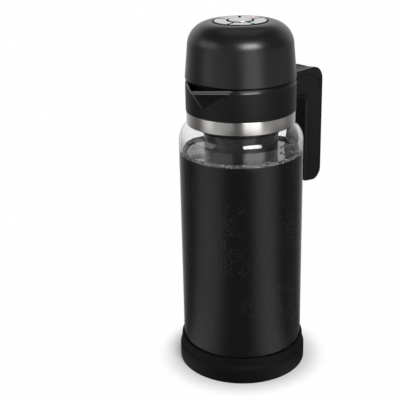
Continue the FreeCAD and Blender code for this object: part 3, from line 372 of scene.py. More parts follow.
def newMetal(name, color, roughness, contrast=brushed["contrast"], stretch=0, turn=0):
    values = {"Color": color + (1,), "Roughness": roughness, "Contrast": contrast}
    settings = {"Metallic": 1, "Anisotropic": stretch, "Anisotropic Rotation": turn}
    return skinMaterial(name, brushedLines, values, brushed["relief"], settings)


domePlastic = newPlastic("domePlastic", (0.007, 0.0069, 0.0066), 0.3)
collarPlastic = newPlastic("collarPlastic", (0.0042, 0.0042, 0.0041), 0.42, shine=0.24)
handlePlastic = newPlastic("handlePlastic", (0.0045, 0.0045, 0.0046), 0.42, shine=0.3)
bootRubber = newPlastic("bootRubber", (0.005, 0.0049, 0.0049), 0.58, 900.0, 0.12, shine=0.12)
keypadBlack = newPlastic("keypadBlack", (0.004, 0.004, 0.004), 0.45, shine=0.1)
basketPlastic = newPlastic("basketPlastic", (0.014, 0.014, 0.0145), 0.2, 1100.0)
innerPlastic = newPlastic("innerPlastic", (0.03, 0.03, 0.032), 0.45)
riserPlastic = newPlastic("riserPlastic", (0.1, 0.1, 0.105), 0.25)
impellerPlastic = newPlastic("impellerPlastic", (0.6, 0.6, 0.57), 0.35)
gasketRubber = newPlastic("gasketRubber", (0.008, 0.008, 0.008), 0.5, 700.0)
boardGreen = newPlastic("boardGreen", (0.012, 0.11, 0.05), 0.3)
cellWrap = newPlastic("cellWrap", (0.03, 0.1, 0.32), 0.25)
buttonSilver = newPlastic("buttonSilver", (0.73, 0.72, 0.735), 0.28, patch=0.05)
bandSteel = newMetal("bandSteel", (0.6, 0.585, 0.565), 0.24, 0.1, stretch=0.85, turn=0.25)
partSteel = newMetal("partSteel", (0.6, 0.6, 0.6), 0.28)
bushBrass = newMetal("bushBrass", (0.7, 0.5, 0.22), 0.25)


# Where the mask is 1, the skin's inputs take other values.
def tintSkin(material, mask, color, roughness=None):
    tree = material.node_tree
    skin = next(node for node in tree.nodes if node.type == "GROUP").inputs
    for label, value, kind in (("Color", color + (1,), "RGBA"), ("Roughness", roughness, "FLOAT")):
        entry = skin[label]
        if value is not None:
            before = entry.links[0].from_socket if entry.is_linked else entry.default_value
            tree.links.new(mix(tree, mask, before, value, kind), entry)


# Etched filter mesh: round holes in rows, sin(holes * angle) * sin(rows * height), turned into alpha.
filterHoles = dict(around=180.0, upwards=6200.0, wire=0.42, holeAlpha=0.2)


def makeMeshMaterial():
    settings = {"Roughness": 0.35, "Metallic": 1, "Base Color": (0.32, 0.31, 0.29, 1)}
    material, tree, shader = newMaterial("filterMesh", settings)
    x, y, z = axesOf(tree)
    around = calc(tree, "*", calc(tree, "ARCTAN2", y, x), filterHoles["around"])
    upwards = calc(tree, "*", z, filterHoles["upwards"])
    weave = calc(tree, "*", calc(tree, "SINE", around), calc(tree, "SINE", upwards))
    wire = calc(tree, "<", calc(tree, "ABSOLUTE", weave), filterHoles["wire"])
    alpha = calc(tree, "*", wire, 1 - filterHoles["holeAlpha"])
    feed(tree, shader, {"Alpha": calc(tree, "+", alpha, filterHoles["holeAlpha"])})
    return material


def makeLightMaterial():
    settings = {"Base Color": (0.85, 0.18, 0.24, 1), "Roughness": 0.2, "Emission Strength": 0.9}
    material, tree, shader = newMaterial("lightLens", settings)
    stops = ((0, (0.85, 0.16, 0.24)), (1, (1, 0.42, 0.46)))
    feed(tree, shader, {"Emission Color": addRamp(tree, addNoise(tree, 900.0), stops)})
    return material


filterMesh = makeMeshMaterial()
lightLens = makeLightMaterial()
print("materials made")

# boot

boot = dict(
    floor=3.0, wall=3.0, footRound=0.7, footFlare=0.55, stepLow=10.0, stepHigh=6.5, stepIn=1.35,
    stepRound=9.0, lipWall=1.8, lipRound=0.6, boreRound=0.3,
)


# Turned cup: a straight foot, a soft step inwards (stepLow to stepHigh under the top) and a thin lip.
def makeBoot():
    radius, low, high = nodeSize("base_boot")
    bore = radius - boot["wall"]
    foot = radius + boot["footFlare"]
    profile = roundCorners([
        (0, low), (foot, low, boot["footRound"]), (foot, high - boot["stepLow"], boot["stepRound"]),
        (foot - boot["stepIn"], high - boot["stepHigh"], boot["stepRound"]),
        (bore + boot["lipWall"], high, boot["lipRound"]), (bore, high, boot["boreRound"]),
        (bore, low + boot["floor"]), (0, low + boot["floor"]),
    ])
    addPiece(lathe("bootShell", profile), bootRubber, "carafe", "boot_rubber", "base_boot")


makeBoot()
print("boot made")

# glass

glass = dict(
    wall=2.8, floor=3.6, footRound=7.0, shoulder=215.6, slope=60.0, shoulderRound=18.4, neckRadius=41.0,
    neckRound=1.0, rippleScale=22.0, ripple=(0.1, 0.0004),
)


def makeGlassMaterial():
    settings = {"Base Color": (0.97, 0.985, 0.98, 1), "Roughness": 0, "IOR": 1.47, "Transmission Weight": 1}
    material, tree, shader = newMaterial("carafeGlass", settings)
    addRelief(tree, shader, addNoise(tree, glass["rippleScale"]), *glass["ripple"])
    return material


# Turned vessel: straight walls, a shoulder arc, a sloping run and a straight neck; the inner wall is
# the outer one moved in by the wall's thickness.
def makeGlass():
    radius, low, high = nodeSize("glass_carafe")
    slope = tan(radians(glass["slope"]))
    wall, neck, neckRound = glass["wall"], glass["neckRadius"], glass["neckRound"]
    innerRadius = radius - wall
    innerShoulder = glass["shoulder"] - wall * tan(radians(glass["slope"] / 2))
    bore = neck - wall
    profile = roundCorners([
        (0, low), (radius, low, glass["footRound"]), (radius, glass["shoulder"], glass["shoulderRound"]),
        (neck, glass["shoulder"] + (radius - neck) / slope, neckRound), (neck, high, neckRound),
        (bore, high, neckRound), (bore, innerShoulder + (innerRadius - bore) / slope, neckRound),
        (innerRadius, innerShoulder, glass["shoulderRound"] - wall),
        (innerRadius, low + glass["floor"], glass["footRound"] - wall), (0, low + glass["floor"]),
    ], steps=16)
    mesh = lathe("carafeBody", profile, fineSteps)
    addPiece(mesh, makeGlassMaterial(), "carafe", "carafe_glass", "glass_carafe")


makeGlass()

# brew

coffee = dict(
    level=194.7, meniscus=0.3, meniscusWidth=1.2, overlap=0.06, riserRadius=7.4, riserBottom=13.6,
    basketBottom=54.7, basketRadius=31.25, surfaceDepth=0.02, color=(0.0075, 0.0066, 0.006, 1),
    bubbleColor=(0.06, 0.056, 0.05, 1), bubbleScale=760.0, bubbleSize=0.3, bubbleRarity=0.62,
    cloudScale=26.0, cloudDetail=3.0, cloudEdge=0.54,
)


# Nearly black brew with small bubbles against the glass: round spots of a Voronoi pattern, kept only
# where a slow noise is high. Its level top has a coat.
def makeCoffeeMaterial():
    settings = {"Roughness": 0.16, "IOR": 1.1, "Coat IOR": 2.5, "Coat Roughness": 0.03}
    material, tree, shader = newMaterial("brewedCoffee", settings)
    distance, chance = addCells(tree, coffee["bubbleScale"])
    chance = addNode(tree, "SeparateColor", {"Color": chance}).outputs["Red"]
    cloud = addNoise(tree, coffee["cloudScale"], coffee["cloudDetail"])
    small = calc(tree, "<", distance, coffee["bubbleSize"])
    rare = calc(tree, ">", chance, coffee["bubbleRarity"])
    dense = calc(tree, ">", cloud, coffee["cloudEdge"])
    bubble = calc(tree, "*", calc(tree, "*", small, rare), dense)
    surface = (coffee["level"] - coffee["surfaceDepth"]) * mm
    feed(tree, shader, {"Base Color": mix(tree, bubble, coffee["color"], coffee["bubbleColor"], "RGBA"),
                        "Coat Weight": calc(tree, ">", axesOf(tree)["Z"], surface)})
    return material


# Turned body of brew that fills the glass up to its level, hollow where the basket and the riser stand,
# with a rim that climbs the glass.
def makeCoffee():
    radius, low = nodeSize("glass_carafe")[:2]
    outer = radius - glass["wall"] + coffee["overlap"]
    floor = low + glass["floor"] - coffee["overlap"]
    level, basket, riser = coffee["level"], coffee["basketRadius"], coffee["riserRadius"]
    profile = roundCorners([
        (0, floor), (outer, floor, glass["footRound"] - glass["wall"]),
        (outer, level + coffee["meniscus"]),
        (outer - coffee["meniscusWidth"], level, coffee["meniscusWidth"]),
        (basket, level), (basket, coffee["basketBottom"]), (riser, coffee["basketBottom"]),
        (riser, coffee["riserBottom"]), (0, coffee["riserBottom"]),
    ], steps=10)
    addPiece(lathe("coffeeBrew", profile, fineSteps), makeCoffeeMaterial(), "carafe")


makeCoffee()

# froth on the brew

foam = dict(
    inner=34.0, ringInner=45.9, wander=16.0, blotch=0.6, driftScale=75.0, driftDetail=4.0, cellScale=640.0,
    cellDepth=0.0004, stops=((0.18, (0.52, 0.51, 0.49)), (0.55, (0.09, 0.085, 0.08))), height=0.7,
    climb=2.2, ripple=0.45, waves=(37, 11, 83), top=0.12, underside=0.08, aroundSteps=720, acrossSteps=14,
)


# Froth of small bubbles: a ring along the glass whose inner edge wanders with a noise, and loose
# blotches further in, cut out by alpha.
def makeFoamMaterial():
    material, tree, shader = newMaterial("brewFoam", {"Roughness": 0.25})
    cells = addCells(tree, foam["cellScale"])[0]
    drift = addNoise(tree, foam["driftScale"], foam["driftDetail"])
    ragged = calc(tree, "*", calc(tree, "-", drift, 0.5), foam["wander"] * mm)
    reach = calc(tree, "+", heightAndReach(tree)[1], ragged)
    ring = calc(tree, ">", reach, foam["ringInner"] * mm)
    blotch = calc(tree, ">", drift, foam["blotch"])
    feed(tree, shader, {"Base Color": addRamp(tree, cells, foam["stops"]),
                        "Alpha": calc(tree, "MAXIMUM", ring, blotch)})
    addRelief(tree, shader, cells, 1, foam["cellDepth"], invert=True)
    return material


# A thin sheet of froth: a flat ring whose top rises towards the glass, rippled round the turn:
# height * (0.4 + 0.6 * share^3) * ripple + climb * share^8.
def makeFoam():
    outer = nodeSize("glass_carafe")[0] - glass["wall"]
    angle = fullTurn(foam["aroundSteps"])
    share = np.linspace(0, 1, foam["acrossSteps"])[:, None]
    slow, beat, fast = foam["waves"]
    ripple = np.sin(angle * slow) * np.sin(angle * beat + 1) + 0.6 * np.sin(angle * fast)
    rise = foam["height"] * (0.4 + 0.6 * share ** 3) * (1 + foam["ripple"] * ripple)
    top = coffee["level"] + foam["top"] + rise + foam["climb"] * share ** 8
    across = foam["inner"] + (outer - foam["inner"]) * share
    across = np.vstack([across, across[::-1]])
    up = np.vstack([top, np.full(top.shape, coffee["level"] + foam["underside"])])
    points = np.stack([across * np.cos(angle), across * np.sin(angle), up], axis=2)
    addPiece(newShell("brewFroth", points), makeFoamMaterial(), "carafe")


makeFoam()
print("glass and coffee made")

# steel band

band = dict(wall=0.9, edge=0.35)


def makeBand():
    radius, low, high = nodeSize("steel_band")
    bore, edge = radius - band["wall"], band["edge"]
    profile = roundCorners([(bore, low), (radius, low, edge), (radius, high, edge), (bore, high)], steps=4)
    addPiece(lathe("bandRing", profile, fineSteps), bandSteel, "carafe", "band_steel", "steel_band")


makeBand()

# collar with its beak

collar = dict(
    bottom=231.0, radius=46.0, wall=2.8, ledgeBottom=243.0, ledgeTop=245.4, bevelHeight=1.1,
    bevelWidth=0.42, brimHeight=1.8, brimWidth=0.8, brimRound=0.5, edge=0.3, boreEdge=0.4, gapAngle=27.0,
    gapDepth=5.5, wallSteps=512, shelfTop=255.6, shelfBottom=254.0, shelfWidth=2.6, sleeveBore=32.0,
    sleeveRadius=33.6, skirtBottom=224.4, skirtRadius=44.65, skirtWall=2.0,
    # painted highlights and shade on the collar: bands of (lowest height, highest height, least radius),
    # and their skin
    paintedLight=[
        # top bevel: slightly paler, a painted highlight, besides its lower roughness
        dict(bands=[(253.9, 255.15, 45.4)], roughness=0.22, color=(0.012, 0.012, 0.012)),
        # the lip's two edge lines: pale, painted highlights
        dict(bands=[(254.05, 255.1, 46.25), (255.75, 256.9, 46.25)], roughness=0.34,
             color=(0.095, 0.095, 0.093)),
        # the beak's flank under the lip: darker, painted shade
        dict(bands=[(238.0, 253.8, 46.15)], roughness=0.5, color=(0.0015, 0.0015, 0.0015)),
        # the keel's ridge: pale, a painted highlight
        dict(bands=[(238.0, 253.8, 46.5)], keelHalf=0.5, roughness=0.34, color=(0.045, 0.045, 0.044)),
    ],
)
beak = dict(
    reach=59.1, halfAngle=29.0, rise=0.98, depth=17.3, keelAngle=1.0, keelStand=0.15, setback=1.1,
    edge=0.2, noseRound=1.0, keelRound=0.3, channelTop=1.2, channelFloor=4.2, outsideSteps=18,
    channelSteps=12, acrossSteps=81, crowding=1.8, lipGap=0.05,
    hidden=45.3,  # radius inside the wall where the beak's sides end
    # the lip's section, upwards: distance below the rim and how far it stands out
    lip=[(3.1, 0), (3.0, 0.6), (2.75, 0.78), (2.7, 0.8), (1.75, 0.3), (1.7, 0.27), (1.65, -0.1),
         (1.1, -0.12), (1.05, 0.5), (1.0, 0.53), (0.12, 0.1), (0, -0.05)],
)


# Painted highlights and shade: within the bands' heights and outside their radii the skin has its own
# colour and roughness, paler where a highlight is painted and darker where shade is painted.
def paintLightAndShade(material, paintedLight):
    tree = material.node_tree
    high, reach = heightAndReach(tree)
    mask = 0
    for low, top, radius in paintedLight["bands"]:
        inside = calc(tree, "*", calc(tree, ">", high, low * mm), calc(tree, "<", high, top * mm))
        outside = calc(tree, ">", reach, radius * mm)
        mask = calc(tree, "MAXIMUM", calc(tree, "*", inside, outside), mask)
    if "keelHalf" in paintedLight:
        aside = calc(tree, "ABSOLUTE", axesOf(tree)["Y"])
        mask = calc(tree, "*", mask, calc(tree, "<", aside, paintedLight["keelHalf"] * mm))
    tintSkin(material, mask, paintedLight["color"], paintedLight["roughness"])


# A turned wall whose top comes down to a floor behind the beak: z = min(z, floor) for angles within
# gapAngle of the beak's direction.
def gappedWall(name, profile, floor):
    angle = np.linspace(-pi, pi, collar["wallSteps"], endpoint=False)
    points = turnProfile(profile, angle)
    behind = np.abs(angle) > pi - radians(collar["gapAngle"])
    points[:, behind, 2] = np.minimum(points[:, behind, 2], floor)
    return newShell(name, points)


def makeCollarWall():
    low, top = nodeSize("spout_collar")[1:]
    radius, edge, bottom = collar["radius"], collar["edge"], collar["bottom"]
    bore = radius - collar["wall"]
    bevelTop = top - collar["brimHeight"]
    brimEdge = radius - collar["bevelWidth"]
    wall = roundCorners([
        (bore, bottom, edge), (radius, bottom, edge), (radius, bevelTop - collar["bevelHeight"], edge),
        (brimEdge, bevelTop, collar["brimRound"]), (brimEdge - collar["brimWidth"], top, edge),
        (bore, top, edge),
    ], steps=6)
    ledge = roundCorners([
        (collar["sleeveBore"], low, edge), (collar["sleeveRadius"], low, edge),
        (collar["sleeveRadius"], collar["ledgeBottom"]), (bore, collar["ledgeBottom"]),
        (bore, collar["ledgeTop"]), (collar["sleeveBore"], collar["ledgeTop"], collar["boreEdge"]),
    ], steps=4)
    shelf = stripSection(bore - collar["shelfWidth"], bore, collar["shelfBottom"], collar["shelfTop"])
    skirtRadius = collar["skirtRadius"]
    skirt = stripSection(skirtRadius - collar["skirtWall"], skirtRadius, collar["skirtBottom"], bottom)
    return [gappedWall("collarWall", wall, top - collar["gapDepth"]), lathe("collarLedge", ledge),
            lathe("collarShelf", shelf), lathe("collarSkirt", skirt)]


# The plans of the beak's levels: x = -(nose - slope * (sqrt(y^2 + r^2) - r)), from one side to the
# other. Each ends where it first comes within a circle inside the collar's wall, or nearest to the
# axis, which is found by halving.
def beakCurve(nose, slope, rounding):
    def across(y):
        return nose - slope * (np.sqrt(y ** 2 + rounding ** 2) - rounding)

    low = np.zeros_like(nose)
    high = nose * slope / (1 + slope ** 2)
    for _ in range(40):
        y = (low + high) / 2
        inside = across(y) ** 2 + y ** 2 < beak["hidden"] ** 2
        high = np.where(inside, y, high)
        low = np.where(inside, low, y)
    share = np.linspace(-1, 1, beak["acrossSteps"])
    y = high * np.sign(share) * np.abs(share) ** beak["crowding"]
    return -across(y), y


# A pinched spout: V-shaped plans of growing size stacked from the keel up to the rim, over the lip, and
# down again as the channel. A level's V runs from its nose to the wall at an angle of halfAngle *
# share^rise.
def makeBeak():
    top = nodeSize("spout_collar")[2]
    keel = top - beak["depth"]
    edge, setback, radius = beak["edge"], beak["setback"], collar["radius"]
    lip = [(top - drop, out) for drop, out in beak["lip"]]
    lipFoot = lip[0][0] - beak["lipGap"]
    outside = [(height, 0) for height in np.linspace(keel, lipFoot, beak["outsideSteps"])]
    rim = [(top, edge - setback), (top - edge * 0.3, edge * 0.3 - setback), (top - edge, -setback)]
    channel = [(height, -setback) for height in np.linspace(
        top - beak["channelTop"], keel + beak["channelFloor"], beak["channelSteps"])]
    height, out = np.array(outside + lip + rim + channel).T[:, :, None]
    share = (height - keel) / beak["depth"]
    nose = radius + beak["keelStand"] + (beak["reach"] - radius) * share
    halfAngle = beak["keelAngle"] + (beak["halfAngle"] - beak["keelAngle"]) * share ** beak["rise"]
    wallAngle = np.radians(halfAngle)
    slope = (nose - radius * np.cos(wallAngle)) / (radius * np.sin(wallAngle))
    rounding = beak["keelRound"] + (beak["noseRound"] - beak["keelRound"]) * share
    x, y = beakCurve(nose + out, slope, rounding)
    points = np.stack([x, y, height + 0 * x], axis=2)
    return newShell("collarBeak", points, "columns", sharpAngle=14)


# painted highlights and shade on the collar's bevel, lip, keel and flank
for paintedLight in collar["paintedLight"]:
    paintLightAndShade(collarPlastic, paintedLight)
addPiece(joinMeshes("collarBody", makeCollarWall() + [makeBeak()]), collarPlastic, "carafe",
         "collar_plastic", "spout_collar")
print("collar made")

# handle

handle = dict(
    reach=99.5, depth=23.0, top=252.0, bottom=146.2, rootBottom=233.6, elbowBottom=227.6, topRound=13.0,
    footRound=10.0, innerRound=6.0, shellThickness=5.2, shellSide=1.2, bend=22.0, width=21.0,
    overhang=0.25, fingerRound=3.0, edge=0.35, hidden=44.8, thumbStart=64.0, thumbRun=9.0,
    thumbRadius=28.0, thumbDepth=1.6, thumbSkin=4.0, armSteps=40, arcSteps=7, flatSteps=15,
)


# A solid with a flat outline (x, z) and rounded long edges. The section across is a profile carried
# round the outline: inset = r (1 - sin t), y = w - r (1 - cos t), for t from 0 to 90 degrees, with r
# given for each point of the outline.
def bandAcross(outline, halfWidth, rounds, name, lift=None):
    ahead = np.roll(outline, -1, axis=0) - outline
    behind = outline - np.roll(outline, 1, axis=0)
    ahead /= np.linalg.norm(ahead, axis=1)[:, None]
    behind /= np.linalg.norm(behind, axis=1)[:, None]
    tangent = ahead + behind
    tangent /= np.linalg.norm(tangent, axis=1)[:, None]
    stretch = 1 / np.clip(np.sum(tangent * ahead, axis=1), 0.5, 1)[:, None]
    outX, outZ = outline.T
    sense = np.sign(np.sum(outX * np.roll(outZ, -1) - np.roll(outX, -1) * outZ))
    inward = np.stack([-tangent[:, 1], tangent[:, 0]], axis=1) * sense
    t = np.linspace(0, pi / 2, handle["arcSteps"])
    flat = np.linspace(-1, 1, handle["flatSteps"] + 2)[1:-1]
    radius = rounds[:, None]
    arc = halfWidth - radius + radius * np.cos(t)
    y = np.concatenate([-arc, (halfWidth - radius) * flat, arc[:, ::-1]], axis=1)
    inset = radius * np.concatenate([1 - np.sin(t), np.zeros(len(flat)), (1 - np.sin(t))[::-1]])
    x = outline[:, :1] + inward[:, :1] * inset * stretch
    z = outline[:, 1:] + inward[:, 1:] * inset * stretch
    if lift is not None:
        z = lift(x, y, z)
    return newShell(name, np.stack([x, y, z], axis=2), "columns", sharpAngle=30)


# Lowers the top face into a trough: depth falls off across as a circle of thumbRadius.
def thumbDip(x, y, z):
    top = handle["top"]
    axis = top - handle["thumbDepth"] + handle["thumbRadius"]
    trough = axis - np.sqrt(handle["thumbRadius"] ** 2 - y ** 2)
    ramp = np.clip((x - handle["thumbStart"]) / handle["thumbRun"], 0, 1)
    ramp = ramp * ramp * (3 - 2 * ramp)
    lowered = top + (np.minimum(trough, top) - top) * ramp
    return np.where(z > top - handle["thumbSkin"], np.minimum(z, lowered), z)


# The grip's and the shell's side outlines, which meet along the parting line, and the number of the
# grip's points that lie under the fingers.
def handleOutlines():
    h = handle
    inner, strap = h["reach"] - h["depth"], h["reach"] - h["shellSide"]
    seam, hidden, footRound = h["top"] - h["shellThickness"], h["hidden"], h["footRound"]
    centre = (h["reach"] - footRound, h["bottom"] + footRound)
    meet = -acos((strap - centre[0]) / footRound)
    foot = arcPoints(centre, footRound, -pi / 2, meet, 9)
    toe = arcPoints(centre, footRound, meet, 0, 4)[1:]
    bend = roundCorners([tuple(foot[-1]), (strap, seam, h["bend"]), (hidden, seam)], steps=14)[1:-1]
    finger = roundCorners([(hidden, h["rootBottom"]), (inner, h["elbowBottom"], h["innerRound"]),
                           (inner, h["bottom"], h["innerRound"]), (centre[0], h["bottom"])])
    top = roundCorners([(h["reach"], h["bottom"]), (h["reach"], h["top"], h["topRound"]),
                        (hidden, h["top"])], steps=14)[1:-1]
    along = np.linspace(top[-1, 0], hidden, h["armSteps"])[1:]
    arm = np.stack([along, np.full_like(along, h["top"])], axis=1)
    grip = np.vstack([finger[:-1], foot, bend, [(hidden, seam)]])
    shell = np.vstack([foot[-1:], toe, top, arm, [(hidden, seam)], bend[::-1]])
    return grip, shell, len(finger) - 1


def makeHandle():
    grip, shell, fingers = handleOutlines()
    rounds = np.full(len(grip), handle["edge"])
    rounds[:fingers] = handle["fingerRound"]
    half = handle["width"] / 2
    gripMesh = bandAcross(grip, half - handle["overhang"], rounds, "gripMoulding")
    shellMesh = bandAcross(shell, half, np.full(len(shell), handle["edge"]), "shellMoulding", thumbDip)
    addPiece(gripMesh, handlePlastic, "carafe", "handle_plastic", "handle_grip")
    addPiece(shellMesh, handlePlastic, "carafe", "handle_plastic", "handle_shell")


makeHandle()
print("handle made")

# domed head

dome = dict(
    taper=5.2, round=19.0, innerRound=14.0, wall=2.6, footRound=1.4, wellRadius=22.8, wellDepth=4.5,
    wellFloor=2.2, wellEdge=0.9, footRadius=46.2,
)


# Turned cover: a tapered wall, a big shoulder arc and a well in the crown.
def makeDome():
    low, top = nodeSize("dome_housing")[1:]
    taper = radians(dome["taper"])
    foot, well, wellFloor = dome["footRadius"], dome["wellRadius"], dome["wellFloor"]
    across = dome["wall"] / cos(taper)
    innerTop = top - dome["wall"]
    wellLow = top - dome["wellDepth"]
    innerAtTop = foot - (innerTop - low) * tan(taper) - across
    profile = roundCorners([
        (foot, low, dome["footRound"]), (foot - (top - low) * tan(taper), top, dome["round"]),
        (well, top, dome["wellEdge"]), (well, wellLow), (0, wellLow), (0, wellLow - wellFloor),
        (well + wellFloor, wellLow - wellFloor), (well + wellFloor, innerTop),
        (innerAtTop, innerTop, dome["innerRound"]), (foot - across, low),
    ], steps=24)
    mesh = lathe("domeShell", profile, fineSteps)
    addPiece(mesh, domePlastic, "drive_head", "dome_plastic", "dome_housing")


makeDome()
print("dome made")

# keypad

keypad = dict(
    angle=223.0, frontGap=30.0, rearGap=120.0, clearance=0.55, frameClearance=0.1, startRadius=9.4,
    startLift=0.3, startDish=0.25, startRim=0.72, startFoot=0.2, ringWidth=0.9, ribWidth=0.9, rimWidth=0.9,
    ribDrop=1.9, rimDrop=0.1, rimRound=0.25, ribRound=0.2, edge=0.45, cornerRound=0.9, footEdge=0.25,
    crown=0.18, crownInset=3.2, stemRadius=1.5, stemCircle=16.0, stemLength=4.2, stemOverlap=0.5,
    stemEdge=0.2, lensRadius=1.2, lensCircle=18.8, lensTurn=-6.0, lensSink=0.1, lensDome=0.3,
    # how far down the silver reaches on the segments and on the start button, and the near-black sides
    # below it, painted shade for the gaps between the buttons
    silverDrop=0.42, startSilverDrop=0.12, startSilverReach=9.8, silverMetallic=0.75,
    sideShadeColor=(0.006, 0.006, 0.006),
)
sideHalf = (keypad["rearGap"] - keypad["frontGap"]) / 2
rearHalf = (180 - keypad["rearGap"]) / 2
# for each button's node: its piece, its middle direction and half its angle
segments = {
    "front_button": ("frontSegment", 0, keypad["frontGap"]),
    "right_button": ("rightSegment", keypad["frontGap"] + sideHalf, sideHalf),
    "rear_right_button": ("rearRightSegment", keypad["rearGap"] + rearHalf, rearHalf),
    "rear_left_button": ("rearLeftSegment", -keypad["rearGap"] - rearHalf, rearHalf),
    "left_button": ("leftSegment", -keypad["frontGap"] - sideHalf, sideHalf),
}
rimOuter = dome["wellRadius"] - keypad["frameClearance"]
rimInner = rimOuter - keypad["rimWidth"]
frameHole = keypad["startRadius"] + keypad["clearance"]
frameRing = frameHole + keypad["ringWidth"]
segmentOuter = rimInner - keypad["clearance"]
segmentInner = frameRing + keypad["clearance"]
segmentSide = keypad["ribWidth"] / 2 + keypad["clearance"]


# Painted shade: the buttons' sides under the silvered tops are near black, standing in for the shade in the
# gaps between them; silver only above a height, with another height within the start button's reach.
def shadeButtonSides(material):
    tree = material.node_tree
    high, reach = heightAndReach(tree)
    top = nodeSize("start_button")[2]
    inner = calc(tree, "<", reach, keypad["startSilverReach"] * mm)
    drops = ((top - keypad[drop]) * mm for drop in ("silverDrop", "startSilverDrop"))
    silvered = calc(tree, ">", high, mix(tree, inner, *drops))
    tintSkin(material, calc(tree, "-", 1, silvered), keypad["sideShadeColor"])
    feed(tree, tree.nodes["Principled BSDF"].inputs,
         {"Metallic": calc(tree, "*", silvered, keypad["silverMetallic"])})


# Points turned about Z.
def turned(points, degrees):
    along, aside = cos(radians(degrees)), sin(radians(degrees))
    return points @ np.array([[along, aside, 0], [-aside, along, 0], [0, 0, 1]])


# The plan of a ring sector about +X at a height, drawn in by inset: its arcs have radius outer - inset
# and inner + inset, and its sides keep segmentSide + inset from their rays.
def sectorLoop(halfAngle, height, inset, steps=24):
    corner = keypad["cornerRound"]
    outer, inner, gap = segmentOuter - inset, segmentInner + inset, segmentSide + inset
    half = radians(halfAngle)
    wideEnd = half - asin((gap + corner) / (outer - corner))
    tightEnd = half - asin((gap + corner) / (inner + corner))
    side = half + pi / 2

    def cornerArc(reach, end, start, stop):
        return arcPoints((reach * cos(end), reach * sin(end)), corner, start, stop, 6)

    loop = np.vstack([
        arcPoints((0, 0), outer, -wideEnd, wideEnd, steps)[1:-1],
        cornerArc(outer - corner, wideEnd, wideEnd, side),
        cornerArc(inner + corner, tightEnd, side, tightEnd + pi),
        arcPoints((0, 0), inner, tightEnd, -tightEnd, steps)[1:-1],
        cornerArc(inner + corner, -tightEnd, pi - tightEnd, 2 * pi - side),
        cornerArc(outer - corner, -wideEnd, 2 * pi - side, 2 * pi - wideEnd),
    ])
    return np.column_stack([loop, np.full(len(loop), height)])


# A round peg under a button, at a place on a circle.
def makeStem(low, high, circle, angle):
    radius, edge = keypad["stemRadius"], keypad["stemEdge"]
    points = turnProfile([(radius - edge, low), (radius, low + edge), (radius, high)], fullTurn(24), circle)
    return newShell("stem", turned(points, angle), "rows")


# Stacked plans: straight sides, a rounded top edge, and a gently crowned top.
def makeSegment(name, node, middle, halfAngle):
    low, top = nodeSize(node)[1:]
    bottom = low + keypad["stemLength"]
    edge, crown, crownInset = keypad["edge"], keypad["crown"], keypad["crownInset"]
    levels = [(bottom, keypad["footEdge"]), (bottom + keypad["footEdge"], 0)]
    levels += [(top - crown - edge * (1 - sin(a)), edge * (1 - cos(a)))
               for a in np.linspace(0, pi / 2, 6)]
    levels += [(top - crown * 0.4, crownInset / 2), (top, crownInset)]
    direction = keypad["angle"] + middle
    loops = np.stack([sectorLoop(halfAngle, height, inset) for height, inset in levels])
    body = newShell("body", turned(loops, direction), "rows", sharpAngle=40)
    stem = makeStem(low, bottom + keypad["stemOverlap"], keypad["stemCircle"], direction)
    addPiece(joinMeshes(name, [body, stem]), buttonSilver, node, "button_silver", node)


def makeStartButton():
    node = "start_button"
    low, top = nodeSize(node)[1:]
    top += keypad["startLift"]
    bottom = low + keypad["stemLength"]
    radius = keypad["startRadius"]
    profile = roundCorners([
        (0, bottom), (radius, bottom, keypad["startFoot"]), (radius, top, keypad["edge"]),
        (radius * keypad["startRim"], top), (0, top - keypad["startDish"]),
    ], steps=6)
    shells = [lathe("body", profile, steps=96), makeStem(low, bottom + keypad["stemOverlap"], 0, 0)]
    addPiece(joinMeshes("startCap", shells), buttonSilver, node, "button_silver", node)


# A small domed lens: a turned cap moved to its place.
def makeLens():
    low, high = nodeSize("light_lens")[1:]
    direction = keypad["angle"] + segments["rear_right_button"][1] + keypad["lensTurn"]
    a = np.linspace(0, pi / 2, 7)
    radius, edge = keypad["lensRadius"], high - keypad["lensSink"]
    cap = np.column_stack([radius * np.cos(a), edge + keypad["lensDome"] * np.sin(a)])
    profile = np.vstack([[(radius, low)], cap])
    points = turned(turnProfile(profile, fullTurn(32), keypad["lensCircle"]), direction)
    mesh = newShell("brewLight", points, "rows", sharpAngle=50)
    addPiece(mesh, lightLens, "rear_right_button", "light_lens", "light_lens")


# Rim, inner ring and ribs of the black tray.
def makeKeypadFrame():
    low, high = nodeSize("button_frame")[1:]
    ribTop = high + keypad["frameClearance"] - keypad["ribDrop"]
    rim = stripSection(rimInner, rimOuter, low, high - keypad["rimDrop"], keypad["rimRound"])
    ring = stripSection(frameHole, frameRing, low, ribTop, keypad["ribRound"])
    rib = stripSection(-keypad["ribWidth"] / 2, keypad["ribWidth"] / 2, low, ribTop, keypad["ribRound"])
    meshes = [lathe("rim", rim, steps=128), lathe("ring", ring, steps=128)]
    reaches = (frameHole + keypad["ringWidth"] / 2, rimOuter - keypad["rimWidth"] / 2)
    ends = np.stack([np.column_stack([np.full(len(rib), reach), rib]) for reach in reaches])
    for angle in (keypad["frontGap"], keypad["rearGap"], 180, -keypad["rearGap"], -keypad["frontGap"]):
        meshes.append(newShell("rib", turned(ends, keypad["angle"] + angle), "rows"))
    mesh = joinMeshes("keypadTray", meshes)
    addPiece(mesh, keypadBlack, "drive_head", "keypad_black", "button_frame")


# near-black button sides: painted shade in the gaps between the buttons
shadeButtonSides(buttonSilver)
makeStartButton()
for node, (name, middle, halfAngle) in segments.items():
    makeSegment(name, node, middle, halfAngle)
makeLens()
makeKeypadFrame()
print("keypad made")

# finishes of the CAD nodes that stay

